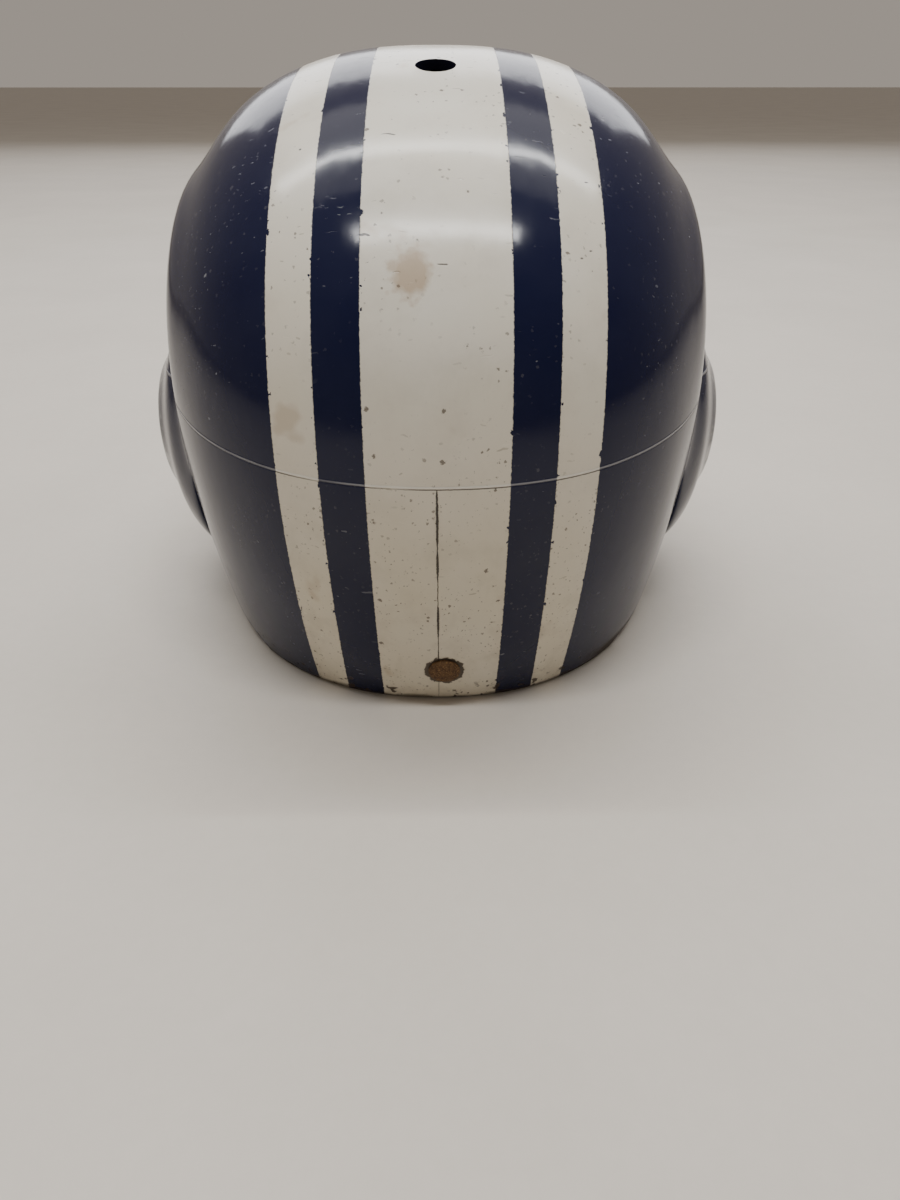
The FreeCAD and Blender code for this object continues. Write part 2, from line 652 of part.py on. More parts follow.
def make_brow_strap(side, seat_form):
    """Moulded loop strap that the brow wire turns in."""
    inner = WIRE_RADIUS + SEAT_GAP
    outer = inner + BROW_STRAP_WALL
    low_x = side * BROW_STRAP_X - 0.5 * BROW_STRAP_WIDTH
    loop_base = Vector(low_x, BROW_WIRE_Y, BROW_WIRE_Z)
    across = Vector(1, 0, 0)
    loop = Part.makeCylinder(outer, BROW_STRAP_WIDTH, loop_base, across)
    face = brow_strap_face()
    top = BROW_SCREW_Z + BROW_PLATE_HALF + 0.5
    outline = [(BROW_WIRE_Y - outer + 0.6, BROW_WIRE_Z + 1.0), (face, BROW_SCREW_Z - BROW_PLATE_HALF),
               (face, top), (BROW_SEAT_Y + 6.0, top),
               (BROW_SEAT_Y + 4.0, BROW_WIRE_Z + 10.0), (BROW_WIRE_Y + 2.0, BROW_WIRE_Z + 4.0)]
    points = [Vector(low_x, y, z) for y, z in outline]
    plate = Part.Face(Part.makePolygon(points + [points[0]])).extrude(Vector(BROW_STRAP_WIDTH, 0, 0))
    strap = plate.fuse(loop)
    wire_space = Part.makeCylinder(inner, BROW_STRAP_WIDTH + 2.0, loop_base - across, across)
    hole = Part.makeCylinder(SCREW_RADIUS + HOLE_CLEARANCE, BORE_LENGTH,
                             Vector(side * BROW_STRAP_X, face - 10.0, BROW_SCREW_Z), Vector(0, 1, 0))
    return strap.cut([wire_space, hole, seat_form])


def make_side_clip(seat_form):
    """Left clip: a plate on the jaw flap with an open jaw in front for the mask's side wire."""
    jaw = WIRE_RADIUS + SEAT_GAP
    outer_x = CLIP_X + CLIP_WALL + CLIP_STAND
    inner_x = WIRE_SIDE_X - jaw - CLIP_WALL
    outline = [(outer_x, CLIP_SCREW_Y + 9.0), (outer_x, CLIP_SCREW_Y - 12.0),
               (WIRE_SIDE_X + jaw + CLIP_WALL, WIRE_SIDE_Y + 6.0),
               (WIRE_SIDE_X + jaw + CLIP_WALL, WIRE_SIDE_Y - 3.5),
               (inner_x, WIRE_SIDE_Y - 3.5), (inner_x, WIRE_SIDE_Y + 9.0),
               (CLIP_X - 9.0, CLIP_SCREW_Y - 14.0), (CLIP_X - 9.0, CLIP_SCREW_Y + 9.0)]
    radii = [1.5, 3.0, 3.0, 1.2, 1.2, 3.0, 1.0, 1.0]
    clip = plan_prism(outline, radii, CLIP_Z - 0.5 * CLIP_HEIGHT, CLIP_Z + 0.5 * CLIP_HEIGHT)
    low = CLIP_Z - CLIP_HEIGHT
    groove = Part.makeCylinder(jaw, 2.0 * CLIP_HEIGHT, Vector(WIRE_SIDE_X, WIRE_SIDE_Y, low))
    mouth = box((WIRE_SIDE_X - jaw, WIRE_SIDE_Y - 20.0, low),
                (WIRE_SIDE_X + jaw, WIRE_SIDE_Y, low + 2.0 * CLIP_HEIGHT))
    hole = cross_bore(1, CLIP_X - 0.5 * BORE_LENGTH, CLIP_SCREW_Y, CLIP_Z, SCREW_RADIUS + HOLE_CLEARANCE)
    flap_edge = box((0.0, FACE_EDGE_Y - 1.5, low), (CLIP_X - WALL - 0.3, 0.0, low + 2.0 * CLIP_HEIGHT))
    return clip.cut([groove, mouth, hole, seat_form, flap_edge])


# ---- chin strap

def cup_form(inset, low_z, high_z):
    """Rounded chin cup, open to the wearer's chin."""
    half = CUP_HALF_WIDTH - inset
    front = CUP_FRONT_Y + inset
    back = CUP_FRONT_Y + CUP_DEPTH
    points = [(half, back + 30.0), (half, back - 6.0), (0.45 * half, front), (-0.45 * half, front),
              (-half, back - 6.0), (-half, back + 30.0)]
    return plan_prism(points, [1.0, 20.0, 18.0, 18.0, 20.0, 1.0], low_z, high_z)


def make_chin_cup():
    low = CUP_LIFT
    high = low + CUP_HEIGHT
    back = CUP_FRONT_Y + CUP_DEPTH
    whole = cup_form(0.0, low, high)
    hollow = cup_form(CUP_WALL, low + CUP_WALL, FAR)
    trim = box((-FAR, back, -FAR), (FAR, FAR, FAR))
    return whole.cut([hollow, trim])


def make_cup_lining():
    low = CUP_LIFT + CUP_WALL + SEAT_GAP
    high = CUP_LIFT + CUP_HEIGHT - 2.0
    back = CUP_FRONT_Y + CUP_DEPTH
    whole = cup_form(CUP_WALL + SEAT_GAP, low, high)
    hollow = cup_form(CUP_WALL + CUP_LINING, low + CUP_LINING, FAR)
    trim = box((-FAR, back - 1.5, -FAR), (FAR, FAR, FAR))
    return whole.cut([hollow, trim])


def strap_strip(points, radii, thickness, low_z, high_z):
    """A flat strap seen from above: a path given a thickness, then its width in height."""
    flat = [Vector(x, y, 0) for x, y in points]
    sides = {1: [], -1: []}
    bends = {1: [], -1: []}
    for place, here in enumerate(flat):
        back = (here - flat[place - 1]).normalize() if place else (flat[1] - here).normalize()
        ahead = (flat[place + 1] - here).normalize() if place + 1 < len(flat) else back
        across = Vector(-back.y - ahead.y, back.x + ahead.x, 0).normalize()
        reach = 0.5 * thickness / across.dot(Vector(-back.y, back.x, 0))
        turn = math.copysign(0.5 * thickness, back.cross(ahead).z)
        for side in (1, -1):
            sides[side].append(here + across * reach * side)
            bends[side].append(max(0.0, radii[place] - side * turn))
    outline = sides[1] + sides[-1][::-1]
    corners = bends[1] + bends[-1][::-1]
    last = len(flat) - 1
    ends = (0, last, last + 1, 2 * last + 1)
    corners = [0.3 * thickness if place in ends else radius for place, radius in enumerate(corners)]
    return plan_prism([(point.x, point.y) for point in outline], corners, low_z, high_z)


def strap_path():
    outer = SNAP_X + STRAP_STAND + 0.5 * STRAP_THICKNESS
    cup_side = CUP_HALF_WIDTH + 0.5 * STRAP_THICKNESS + SEAT_GAP
    cup_back = CUP_FRONT_Y + CUP_DEPTH
    return [(outer, SNAP_Y + 9.0), (outer, SNAP_Y - 9.5), (outer - 8.0, STRAP_BEND_Y),
            (cup_side, cup_back + 1.0), (cup_side, cup_back - 7.0)]


def make_chin_strap():
    """Left strap, from its snap round the jaw flap's edge to the cup."""
    low = SNAP_Z - 0.5 * STRAP_WIDTH
    strap = strap_strip(strap_path(), [0.0, 9.0, 6.0, 5.0, 0.0], STRAP_THICKNESS, low, low + STRAP_WIDTH)
    hole_radius = SNAP_STUD_RADIUS + SEAT_GAP
    hole = Part.makeCylinder(hole_radius, 60.0, Vector(SNAP_X - 30.0, SNAP_Y, SNAP_Z), Vector(1, 0, 0))
    return strap.cut(hole)


def make_snap_cap():
    """Left snap cap, a cup pressed over the stud outside the strap."""
    base = Vector(SNAP_X + STRAP_STAND + STRAP_THICKNESS + THREAD_CLEARANCE, SNAP_Y, SNAP_Z)
    bore = SNAP_STUD_RADIUS + THREAD_CLEARANCE
    profile = [(bore, 0.0), (7.5, 0.0), (7.5, 2.2), (6.4, 3.5), (0.0, 4.2), (0.0, SNAP_STUD_LENGTH - 0.4),
               (bore, SNAP_STUD_LENGTH - 0.4)]
    return turned(profile, base, Vector(1, 0, 0))


def make_buckle():
    """Left slide buckle on the run of strap between the flap and the cup."""
    path = strap_path()
    start = Vector(path[2][0], path[2][1], SNAP_Z)
    end = Vector(path[3][0], path[3][1], SNAP_Z)
    along = (end - start).normalize()
    middle = start + along * 0.55 * (end - start).Length
    frame = Part.makeBox(16.0, 5.0, STRAP_WIDTH + 8.0, Vector(-8.0, -2.5, -0.5 * STRAP_WIDTH - 4.0))
    slot = Part.makeBox(20.0, STRAP_THICKNESS + 0.2, STRAP_WIDTH + 1.0,
                        Vector(-10.0, -0.5 * STRAP_THICKNESS - 0.1, -0.5 * STRAP_WIDTH - 0.5))
    windows = [Part.makeBox(4.0, 8.0, STRAP_WIDTH + 1.0, Vector(place, -4.0, -0.5 * STRAP_WIDTH - 0.5))
               for place in (-6.0, 2.0)]
    buckle = frame.cut([slot] + windows)
    turn = math.degrees(math.atan2(along.y, along.x))
    buckle.Placement = FreeCAD.Placement(middle, FreeCAD.Rotation(Vector(0, 0, 1), turn))
    return buckle


# ---- build

def main():
    outer = helmet_form(0.0)
    inner = helmet_form(WALL)
    seat = helmet_form(-SEAT_GAP)
    nut_seat = helmet_form(WALL + SEAT_GAP)
    pad_back = helmet_form(WALL + SOFT_GAP)
    pad_face = helmet_form(WALL + SOFT_GAP + PAD_THICKNESS, with_domes=False)
    jaw_face = helmet_form(WALL + SOFT_GAP + JAW_PAD_THICKNESS, with_domes=False)
    spaces = nut_spaces()

    parts = {"shell": make_shell(outer, inner)}
    parts["nape_rivet"] = make_nape_rivet()
    parts["nape_washer"] = make_nape_washer()
    parts.update(make_pads(pad_back.cut(pad_face), spaces))
    jaw_layer = pad_back.cut(jaw_face)
    parts["jaw_pad_left"] = make_jaw_pad(1, jaw_layer, spaces)
    parts["jaw_pad_right"] = make_jaw_pad(-1, jaw_layer, spaces)
    parts["jaw_pad_studs"] = make_jaw_studs(nut_seat)
    parts["jaw_socket_left"] = make_jaw_sockets(1)
    parts["jaw_socket_right"] = make_jaw_sockets(-1)
    parts.update(make_mask())
    parts["brow_strap_left"] = make_brow_strap(1, seat)
    parts["brow_strap_right"] = make_brow_strap(-1, seat)
    parts["brow_screws"] = make_brow_screws()
    parts["brow_nuts"] = make_brow_nuts(nut_seat)
    clip = make_side_clip(seat)
    parts["side_clip_left"] = clip
    parts["side_clip_right"] = mirrored(clip)
    parts["side_clip_screws"] = make_clip_screws()
    parts["side_clip_nuts"] = make_clip_nuts(nut_seat)
    parts["chin_snap_studs"] = make_chin_studs(seat)
    parts["chin_snap_nuts"] = make_chin_nuts(nut_seat)
    parts["chin_cup"] = make_chin_cup()
    parts["chin_cup_lining"] = make_cup_lining()
    strap = make_chin_strap()
    parts["chin_strap_left"] = strap
    parts["chin_strap_right"] = mirrored(strap)
    cap = make_snap_cap()
    parts["chin_snap_caps"] = group([cap, mirrored(cap)])
    buckle = make_buckle()
    parts["chin_buckles"] = group([buckle, mirrored(buckle)])

    os.makedirs("parts", exist_ok=True)
    for name, shape in parts.items():
        placed = shape.copy()
        placed.translate(Vector(0, -ORIGIN_Y, 0))
        placed.exportStep("parts/" + name + ".step")
        print(name, len(placed.Solids), "solids", placed.isValid(), round(placed.Volume), "mm3")


main()
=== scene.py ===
"""Striped football helmet: a glossy moulded shell, its padded liner, wire mask and chin strap."""
import math

import bmesh
import bpy
from bpy.props import FloatProperty, FloatVectorProperty, PointerProperty
from mathutils import Matrix, Vector, noise
from mathutils.bvhtree import BVHTree
from mathutils.geometry import interpolate_bezier


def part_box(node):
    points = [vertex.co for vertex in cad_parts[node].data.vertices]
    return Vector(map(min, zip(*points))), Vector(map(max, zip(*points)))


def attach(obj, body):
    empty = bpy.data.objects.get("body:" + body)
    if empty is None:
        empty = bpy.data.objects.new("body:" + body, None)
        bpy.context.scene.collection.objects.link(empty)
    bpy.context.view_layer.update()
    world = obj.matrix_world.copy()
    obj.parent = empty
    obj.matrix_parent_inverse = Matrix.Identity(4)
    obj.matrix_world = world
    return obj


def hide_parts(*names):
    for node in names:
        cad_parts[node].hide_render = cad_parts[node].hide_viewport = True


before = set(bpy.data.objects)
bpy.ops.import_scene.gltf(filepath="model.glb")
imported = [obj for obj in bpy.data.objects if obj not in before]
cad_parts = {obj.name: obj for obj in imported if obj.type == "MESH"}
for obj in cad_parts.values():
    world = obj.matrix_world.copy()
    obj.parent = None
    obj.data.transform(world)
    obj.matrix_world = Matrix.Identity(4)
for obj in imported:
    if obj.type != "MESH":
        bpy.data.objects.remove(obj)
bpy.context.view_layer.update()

bl_info = {
    "name": "Striped football helmet",
    "version": (1, 0, 0),
    "blender": (4, 5, 0),
    "location": "View3D > Sidebar > Helmet",
    "description": "Finishes, pads, straps and studio for a moulded football helmet",
    "category": "Object",
}

MM = 0.001
ORIGIN_Y = -19.55          # widest section of the shell, in mm, is at -ORIGIN_Y

# The shell's own measures, in mm
HEIGHT = 228.5
PARTING_Z = 102.5
PARTING_SLOPE = math.tan(math.radians(5.0))
BACK_REACH = 134.0
BACK_Y = BACK_REACH - ORIGIN_Y
RIVET_LOW, RIVET_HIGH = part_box("nape_rivet")
RIVET_PLACE = (0.5 * (RIVET_LOW + RIVET_HIGH)) / MM


# ---- sizes and colours a user would change

class StripeSettings(bpy.types.PropertyGroup):
    """The painted stripes that run from the brow over the crown to the nape."""
    centre: FloatProperty(name="Centre stripe", description="Half width of the centre stripe",
                          default=0.0242, unit="LENGTH")
    inner: FloatProperty(name="Side stripe, inner edge", description="Centre line to the side stripe",
                         default=0.0401, unit="LENGTH")
    outer: FloatProperty(name="Side stripe, outer edge",
                         description="Centre line to the side stripe's far edge",
                         default=0.0556, unit="LENGTH")


class FinishSettings(bpy.types.PropertyGroup):
    """Colours of the helmet's finishes."""
    shell: FloatVectorProperty(name="Shell", description="Moulded shell colour", subtype="COLOR", size=3,
                               default=(0.0035, 0.0055, 0.032), min=0, max=1)
    stripe: FloatVectorProperty(name="Stripes", description="Aged stripe paint", subtype="COLOR", size=3,
                                default=(0.78, 0.745, 0.655), min=0, max=1)
    pads: FloatVectorProperty(name="Pads", description="Vinyl cover of the pads", subtype="COLOR", size=3,
                              default=(0.075, 0.036, 0.018), min=0, max=1)
    mask: FloatVectorProperty(name="Mask", description="Vinyl dip on the mask's wires", subtype="COLOR",
                              size=3,
                              default=(0.30, 0.31, 0.32), min=0, max=1)
    webbing: FloatVectorProperty(name="Webbing", description="Cotton chin strap", subtype="COLOR", size=3,
                                 default=(0.62, 0.58, 0.48), min=0, max=1)
    gloss: FloatProperty(name="Shell roughness", description="Roughness of the unworn shell", default=0.1,
                         min=0, max=1)


class StudioSettings(bpy.types.PropertyGroup):
    """The floor and the lamps."""
    floor: FloatVectorProperty(name="Floor", description="Pale floor colour", subtype="COLOR", size=3,
                               default=(0.66, 0.61, 0.54), min=0, max=1)
    key: FloatProperty(name="Overhead light", description="Power of the overhead panels", default=26.0,
                       unit="POWER")


# ---- shader arithmetic

class Amount:
    """A number that changes over a surface; plain arithmetic on it adds Math nodes."""

    def __init__(self, paint, socket):
        self.paint = paint
        self.socket = socket

    def _with(self, operation, other, swapped=False):
        pair = (other, self) if swapped else (self, other)
        return self.paint.math(operation, *pair)

    def __add__(self, other):
        return self._with("ADD", other)

    def __radd__(self, other):
        return self._with("ADD", other, True)

    def __sub__(self, other):
        return self._with("SUBTRACT", other)

    def __rsub__(self, other):
        return self._with("SUBTRACT", other, True)

    def __mul__(self, other):
        return self._with("MULTIPLY", other)

    def __rmul__(self, other):
        return self._with("MULTIPLY", other, True)

    def __truediv__(self, other):
        return self._with("DIVIDE", other)

    def __rtruediv__(self, other):
        return self._with("DIVIDE", other, True)

    def __pow__(self, other):
        return self._with("POWER", other)

    def __abs__(self):
        return self.paint.math("ABSOLUTE", self)

    def above(self, edge, soft=0.1):
        """0 below the edge, 1 above it, over a soft step centred on the edge."""
        step = (self - edge) / soft + 0.5
        return self.paint.math("ADD", step, 0.0, clamp=True)

    def below(self, edge, soft=0.1):
        return 1 - self.above(edge, soft)

    def clamped(self):
        return self.paint.math("ADD", self, 0.0, clamp=True)


class Paint:
    """One material: a Principled shader and the nodes that feed it."""

    def __init__(self, name, slot_values):
        self.material = bpy.data.materials.new(name)
        self.material.use_nodes = True
        self.tree = self.material.node_tree
        self.shader = self.tree.nodes["Principled BSDF"]
        for socket, value in slot_values.items():
            self.feed(self.shader.inputs[socket], value)
        self.coords = self.node("ShaderNodeTexCoord")
        self.place = self.coords.outputs["Object"]

    def node(self, kind, settings=None, inputs=None):
        """A node of a kind; settings are set first, then the values or links of its sockets."""
        node = self.tree.nodes.new(kind)
        for name, value in (settings or {}).items():
            setattr(node, name, value)
        for key, value in (inputs or {}).items():
            self.feed(node.inputs[key], value)
        return node

    def feed(self, socket, value):
        if isinstance(value, Amount):
            value = value.socket
        if isinstance(value, bpy.types.NodeSocket):
            self.tree.links.new(value, socket)
        elif isinstance(value, tuple) and len(value) == 3 and socket.type == "RGBA":
            socket.default_value = (*value, 1.0)
        else:
            socket.default_value = value

    def math(self, operation, *values, clamp=False):
        settings = {"operation": operation, "use_clamp": clamp}
        node = self.node("ShaderNodeMath", settings, dict(enumerate(values)))
        return Amount(self, node.outputs[0])

    def highest(self, *amounts):
        total = amounts[0]
        for amount in amounts[1:]:
            total = self.math("MAXIMUM", total, amount)
        return total

    def axes(self, place=None):
        """x, y and z in mm."""
        split = self.node("ShaderNodeSeparateXYZ", None, {0: place or self.place})
        return [Amount(self, socket) * 1000.0 for socket in split.outputs]

    def moved(self, scale=(1, 1, 1), turn=(0, 0, 0), shift=(0, 0, 0)):
        """The object's own coordinates, turned and scaled."""
        node = self.node("ShaderNodeMapping", None, {"Vector": self.place, "Scale": Vector(scale),
                                                     "Rotation": Vector(turn), "Location": Vector(shift)})
        return node.outputs[0]

    def noise(self, scale, detail=2.0, roughness=0.5, place=None, distortion=0.0):
        node = self.node("ShaderNodeTexNoise", None, {
            "Vector": place or self.place, "Scale": scale, "Detail": detail, "Roughness": roughness,
            "Distortion": distortion})
        return Amount(self, node.outputs["Fac"])

    def cells(self, scale, place=None, feature="F1"):
        """Distance to the nearest of many scattered points, and a random number for each."""
        node = self.node("ShaderNodeTexVoronoi", {"feature": feature},
                         {"Vector": place or self.place, "Scale": scale})
        split = self.node("ShaderNodeSeparateColor", None, {0: node.outputs["Color"]})
        return Amount(self, node.outputs["Distance"]), Amount(self, split.outputs[0])

    def blend(self, mask, first, second):
        """first where the mask is 0, second where it is 1."""
        node = self.node("ShaderNodeMix", {"data_type": "RGBA"}, {0: mask, 6: first, 7: second})
        return node.outputs[2]

    def bump(self, height, distance, strength=1.0, under=None):
        inputs = {"Height": height, "Distance": distance, "Strength": strength}
        if under is not None:
            inputs["Normal"] = under
        return self.node("ShaderNodeBump", None, inputs).outputs[0]

    def set(self, **values):
        for name, value in values.items():
            self.feed(self.shader.inputs[name.replace("_", " ").title()], value)
        return self.material


# ---- finishes

def long_marks(paint, turn, cell, stretch, size, share):
    """Short straight scratches: stretched cells, of which only a share is marked."""
    node = paint.node("ShaderNodeMapping", None, {
        "Vector": shaken(paint, 160.0, 0.004), "Rotation": Vector(turn),
        "Scale": Vector((1.0 / stretch, 1.0, 1.0))})
    distance, chance = paint.cells(1000.0 / cell, node.outputs[0])
    return distance.below(size * chance, 0.02) * chance.above(1.0 - share, 0.02)


def shaken(paint, scale, reach):
    """The object's coordinates pushed about by noise, so that marks get broken outlines."""
    cloud = paint.node("ShaderNodeTexNoise", None, {"Vector": paint.place, "Scale": scale, "Detail": 2.0})
    moved = paint.node("ShaderNodeVectorMath", {"operation": "MULTIPLY_ADD"}, {
        0: cloud.outputs["Color"], 1: Vector((reach, reach, reach)), 2: paint.place})
    return moved.outputs[0]


def specks(paint, cell, size, share):
    """Small broken specks, one in each of a share of the cells; cell and size are in mm."""
    distance, chance = paint.cells(1000.0 / cell, shaken(paint, 1400.0, 0.0016))
    return distance.below(size / cell * chance, 0.3 * size / cell) * chance.above(1.0 - share, 0.02)


RUB_RADIUS = 6.0           # rubbed patch on the centre stripe, in mm


def rub(paint, across, up, radius):
    """A ragged rubbed patch on the back of the shell, its middle given in mm."""
    x, y, z = paint.axes()
    reach = ((x - across) ** 2.0 + (z - up) ** 2.0) ** 0.5
    ragged = reach * (1.0 + 1.4 * (paint.noise(260.0, 3.0) - 0.5))
    return ragged.below(radius, 0.6 * radius) * y.above(0.0, 5.0)


def shell_paint(finish, stripes):
    """Moulded shell with aged stripe paint, its parting ridge and seam, and years of knocks; a painted
    highlight and a painted shade line run along the ridge, and painted shade darkens the stripes towards
    the bottom.
    """
    paint = Paint("shell_paint", {"IOR": 1.36})
    x, y, z = paint.axes()

    middle = paint.node("ShaderNodeVectorMath", {"operation": "SUBTRACT"},
                        {0: paint.place, 1: Vector((0.0, -ORIGIN_Y - 14.0, 110.0)) * MM})
    facing = paint.node("ShaderNodeVectorMath", {"operation": "DOT_PRODUCT"},
                        {0: middle.outputs[0], 1: paint.coords.outputs["Normal"]})
    outside = (Amount(paint, facing.outputs["Value"]) * 1000.0).above(12.0, 4.0)

    up = ((z - 150.0) / (HEIGHT - 150.0)).clamped()
    down = ((PARTING_Z - z) / PARTING_Z).clamped()
    narrowing = 1.0 - 0.057 * up * up
    inner_taper = narrowing - 0.053 * down * down
    outer_taper = narrowing - 0.085 * down * down
    fray = (paint.noise(700.0, 3.0, 0.7) - 0.5) * 0.9
    nicks = paint.noise(330.0, 2.0).above(0.67, 0.04) * 0.9
    side = abs(x) + fray
    soft = 0.3
    across = side / inner_taper
    centre = (across + nicks).below(stripes.centre * 1000.0, soft)
    inner_edge = (across - nicks).above(stripes.inner * 1000.0, soft)
    outer_edge = (side / outer_taper + nicks).below(stripes.outer * 1000.0, soft)
    stripe = paint.highest(centre, inner_edge * outer_edge)

    above_line = z - PARTING_Z - (BACK_Y - y) * PARTING_SLOPE
    broken = paint.noise(45.0, 2.0).above(0.42, 0.25)
    ridge = abs(above_line).below(0.42, 0.4)
    # painted highlight along the top of the parting ridge
    painted_ridge_highlight = abs(above_line).below(0.34, 0.25)
    # painted shade: a thin dark line just under the parting ridge, broken in places
    ridge_shade_line = abs(above_line + 0.62 + (fray * 0.3)).below(0.2, 0.2) * (0.25 + 0.75 * broken)
    seam = abs(x + fray * 0.7 - 0.35).below(0.14 + 0.3 * paint.noise(60.0, 2.0).above(0.52, 0.1), 0.2)
    seam = seam * above_line.below(-0.6, 0.3) * y.above(60.0, 4.0) * (1.0 - 0.6 * z.below(20.0, 12.0))

    crowded = paint.noise(26.0, 2.0).above(0.5, 0.2)
    dots = paint.highest(specks(paint, 2.6, 0.6, 0.4) * crowded, specks(paint, 8.0, 0.9, 0.3),
                         specks(paint, 1.5, 0.3, 0.4) * z.below(115.0, 60.0) * (0.3 + 0.7 * crowded))
    scratches = paint.highest(
        long_marks(paint, (0.2, 0.5, 0.3), 3.4, 8.0, 0.1, 0.4),
        long_marks(paint, (0.4, -0.6, 1.9), 3.8, 7.0, 0.1, 0.4),
        long_marks(paint, (1.2, 0.9, -0.4), 4.4, 9.0, 0.09, 0.4)) * (0.35 + 0.65 * crowded)
    scuffs = paint.highest(
        long_marks(paint, (0.1, 0.9, 0.6), 2.8, 8.0, 0.11, 0.45),
        long_marks(paint, (0.5, -0.3, 2.4), 3.2, 10.0, 0.1, 0.45),
        long_marks(paint, (1.1, 0.4, 0.2), 3.6, 12.0, 0.09, 0.4)) * crowded
    knocked = z.above(0.72 * HEIGHT, 14.0) * z.below(0.9 * HEIGHT, 10.0)
    dark = paint.highest(
        long_marks(paint, (0.0, 0.0, 0.2), 5.0, 7.0, 0.1, 0.5),
        long_marks(paint, (0.3, 0.5, -0.3), 6.0, 8.0, 0.09, 0.5)) * (0.15 + 0.85 * knocked)
    pale = long_marks(paint, (0.5, 0.8, 0.7), 7.0, 6.0, 0.1, 0.45) * crowded
    half_way = 0.5 * (PARTING_Z + HEIGHT)
    tan = rub(paint, stripes.centre * 1000.0 / 3.0, half_way, RUB_RADIUS)
    dull_spots = paint.highest(tan, paint.noise(38.0, 3.0, 0.6).above(0.68, 0.08) * 0.5)

    away = ((x - RIVET_PLACE[0]) ** 2.0 + (y - RIVET_PLACE[1]) ** 2.0 + (z - RIVET_PLACE[2]) ** 2.0) ** 0.5
    burst = away.below(6.2 + 4.0 * paint.noise(420.0, 2.0), 0.5)
    rim_wear = (z + 5.0 * (paint.noise(90.0, 3.0) - 0.5)).below(1.6, 1.4)
    right_wear = x.below(-66.0, 12.0) * (z + 10.0 * (paint.noise(60.0, 3.0) - 0.5)).below(7.0, 4.0)
    corner_chips = paint.noise(240.0, 2.0).above(0.63, 0.05) * z.below(9.0, 6.0)
    worn = paint.highest(rim_wear * 0.8, right_wear, corner_chips, burst).clamped()

    yellow = paint.noise(9.0, 3.0, 0.6).above(0.52, 0.3)
    # painted shade: the stripes turn yellower and darker towards the bottom, on top of the random yellowing
    low = (1.0 - z / 90.0).clamped()
    aged = tuple(value * warm for value, warm in zip(finish.stripe, (0.93, 0.88, 0.78)))
    cream = paint.blend((yellow * 0.6 + low * 0.4).clamped(), tuple(finish.stripe), aged)
    # grime in patches, with painted shade making it heavier towards the bottom
    grime_and_shade = paint.noise(55.0, 4.0, 0.65).above(0.6, 0.25) * (0.12 + 0.25 * low)
    cream = paint.blend(grime_and_shade, cream, (0.30, 0.25, 0.18))
    cream = paint.blend(dull_spots * 0.6, cream, (0.36, 0.22, 0.10))
    cream = paint.blend(scratches * 0.55, cream, (0.24, 0.19, 0.14))
    cream = paint.blend(dots * 0.8, cream, (0.10, 0.075, 0.055))
    # dark scratches, the seam, and the painted shade line under the parting ridge
    cream = paint.blend(paint.highest(dark, seam * 0.95, ridge_shade_line * 0.9), cream, (0.035, 0.028, 0.024))
    # painted highlight of the parting ridge on the stripes
    cream = paint.blend(painted_ridge_highlight * 0.7, cream, (0.86, 0.84, 0.78))

    haze = paint.noise(14.0, 4.0, 0.6).above(0.55, 0.4) * 0.05
    navy = paint.blend(haze, tuple(finish.shell), (0.20, 0.22, 0.27))
    navy = paint.blend(paint.highest(scuffs * 0.3, pale * 0.6), navy, (0.34, 0.35, 0.38))
    navy = paint.blend(dots * 0.16, navy, (0.26, 0.25, 0.25))
    # painted highlight of the parting ridge on the navy, broken in places
    navy = paint.blend(painted_ridge_highlight * (0.25 + 0.35 * broken), navy, (0.42, 0.42, 0.44))

    colour = paint.blend(stripe, navy, cream)
    colour = paint.blend(worn * 0.9, colour, (0.05, 0.032, 0.02))
    bare = paint.blend(paint.noise(22.0, 3.0), tuple(finish.shell), (0.02, 0.024, 0.06))
    colour = paint.blend(outside, bare, colour)

    peel = paint.noise(120.0, 2.0) * 0.035
    paint_step = stripe * 0.06
    marks = paint.highest(scratches, scuffs, dark) * 0.05 + worn * 0.1 + seam * 0.25 + ridge_shade_line * 0.12
    height = peel + paint_step - marks + ridge * 0.32
    rough = finish.gloss + 0.05 * stripe + 0.06 * paint.noise(30.0, 4.0, 0.7) + 0.25 * scuffs + 0.2 * pale
    rough = rough + 0.35 * worn + 0.12 * dull_spots
    rough = rough * outside + 0.5 * (1.0 - outside)
    return paint.set(base_color=colour, roughness=rough.clamped(), normal=paint.bump(height, MM))


def rusty_metal():
    """Steel rivet gone brown, with flaking rust."""
    paint = Paint("rusty_steel", {"Metallic": 0.25})
    patches = paint.noise(600.0, 5.0, 0.7)
    brown = paint.blend(patches.above(0.5, 0.25), (0.16, 0.085, 0.035), (0.07, 0.038, 0.018))
    brown = paint.blend(paint.noise(1600.0, 3.0).above(0.62, 0.1), brown, (0.30, 0.16, 0.06))
    rough = 0.55 + 0.3 * patches
    return paint.set(base_color=brown, roughness=rough, normal=paint.bump(patches * 0.25, MM))


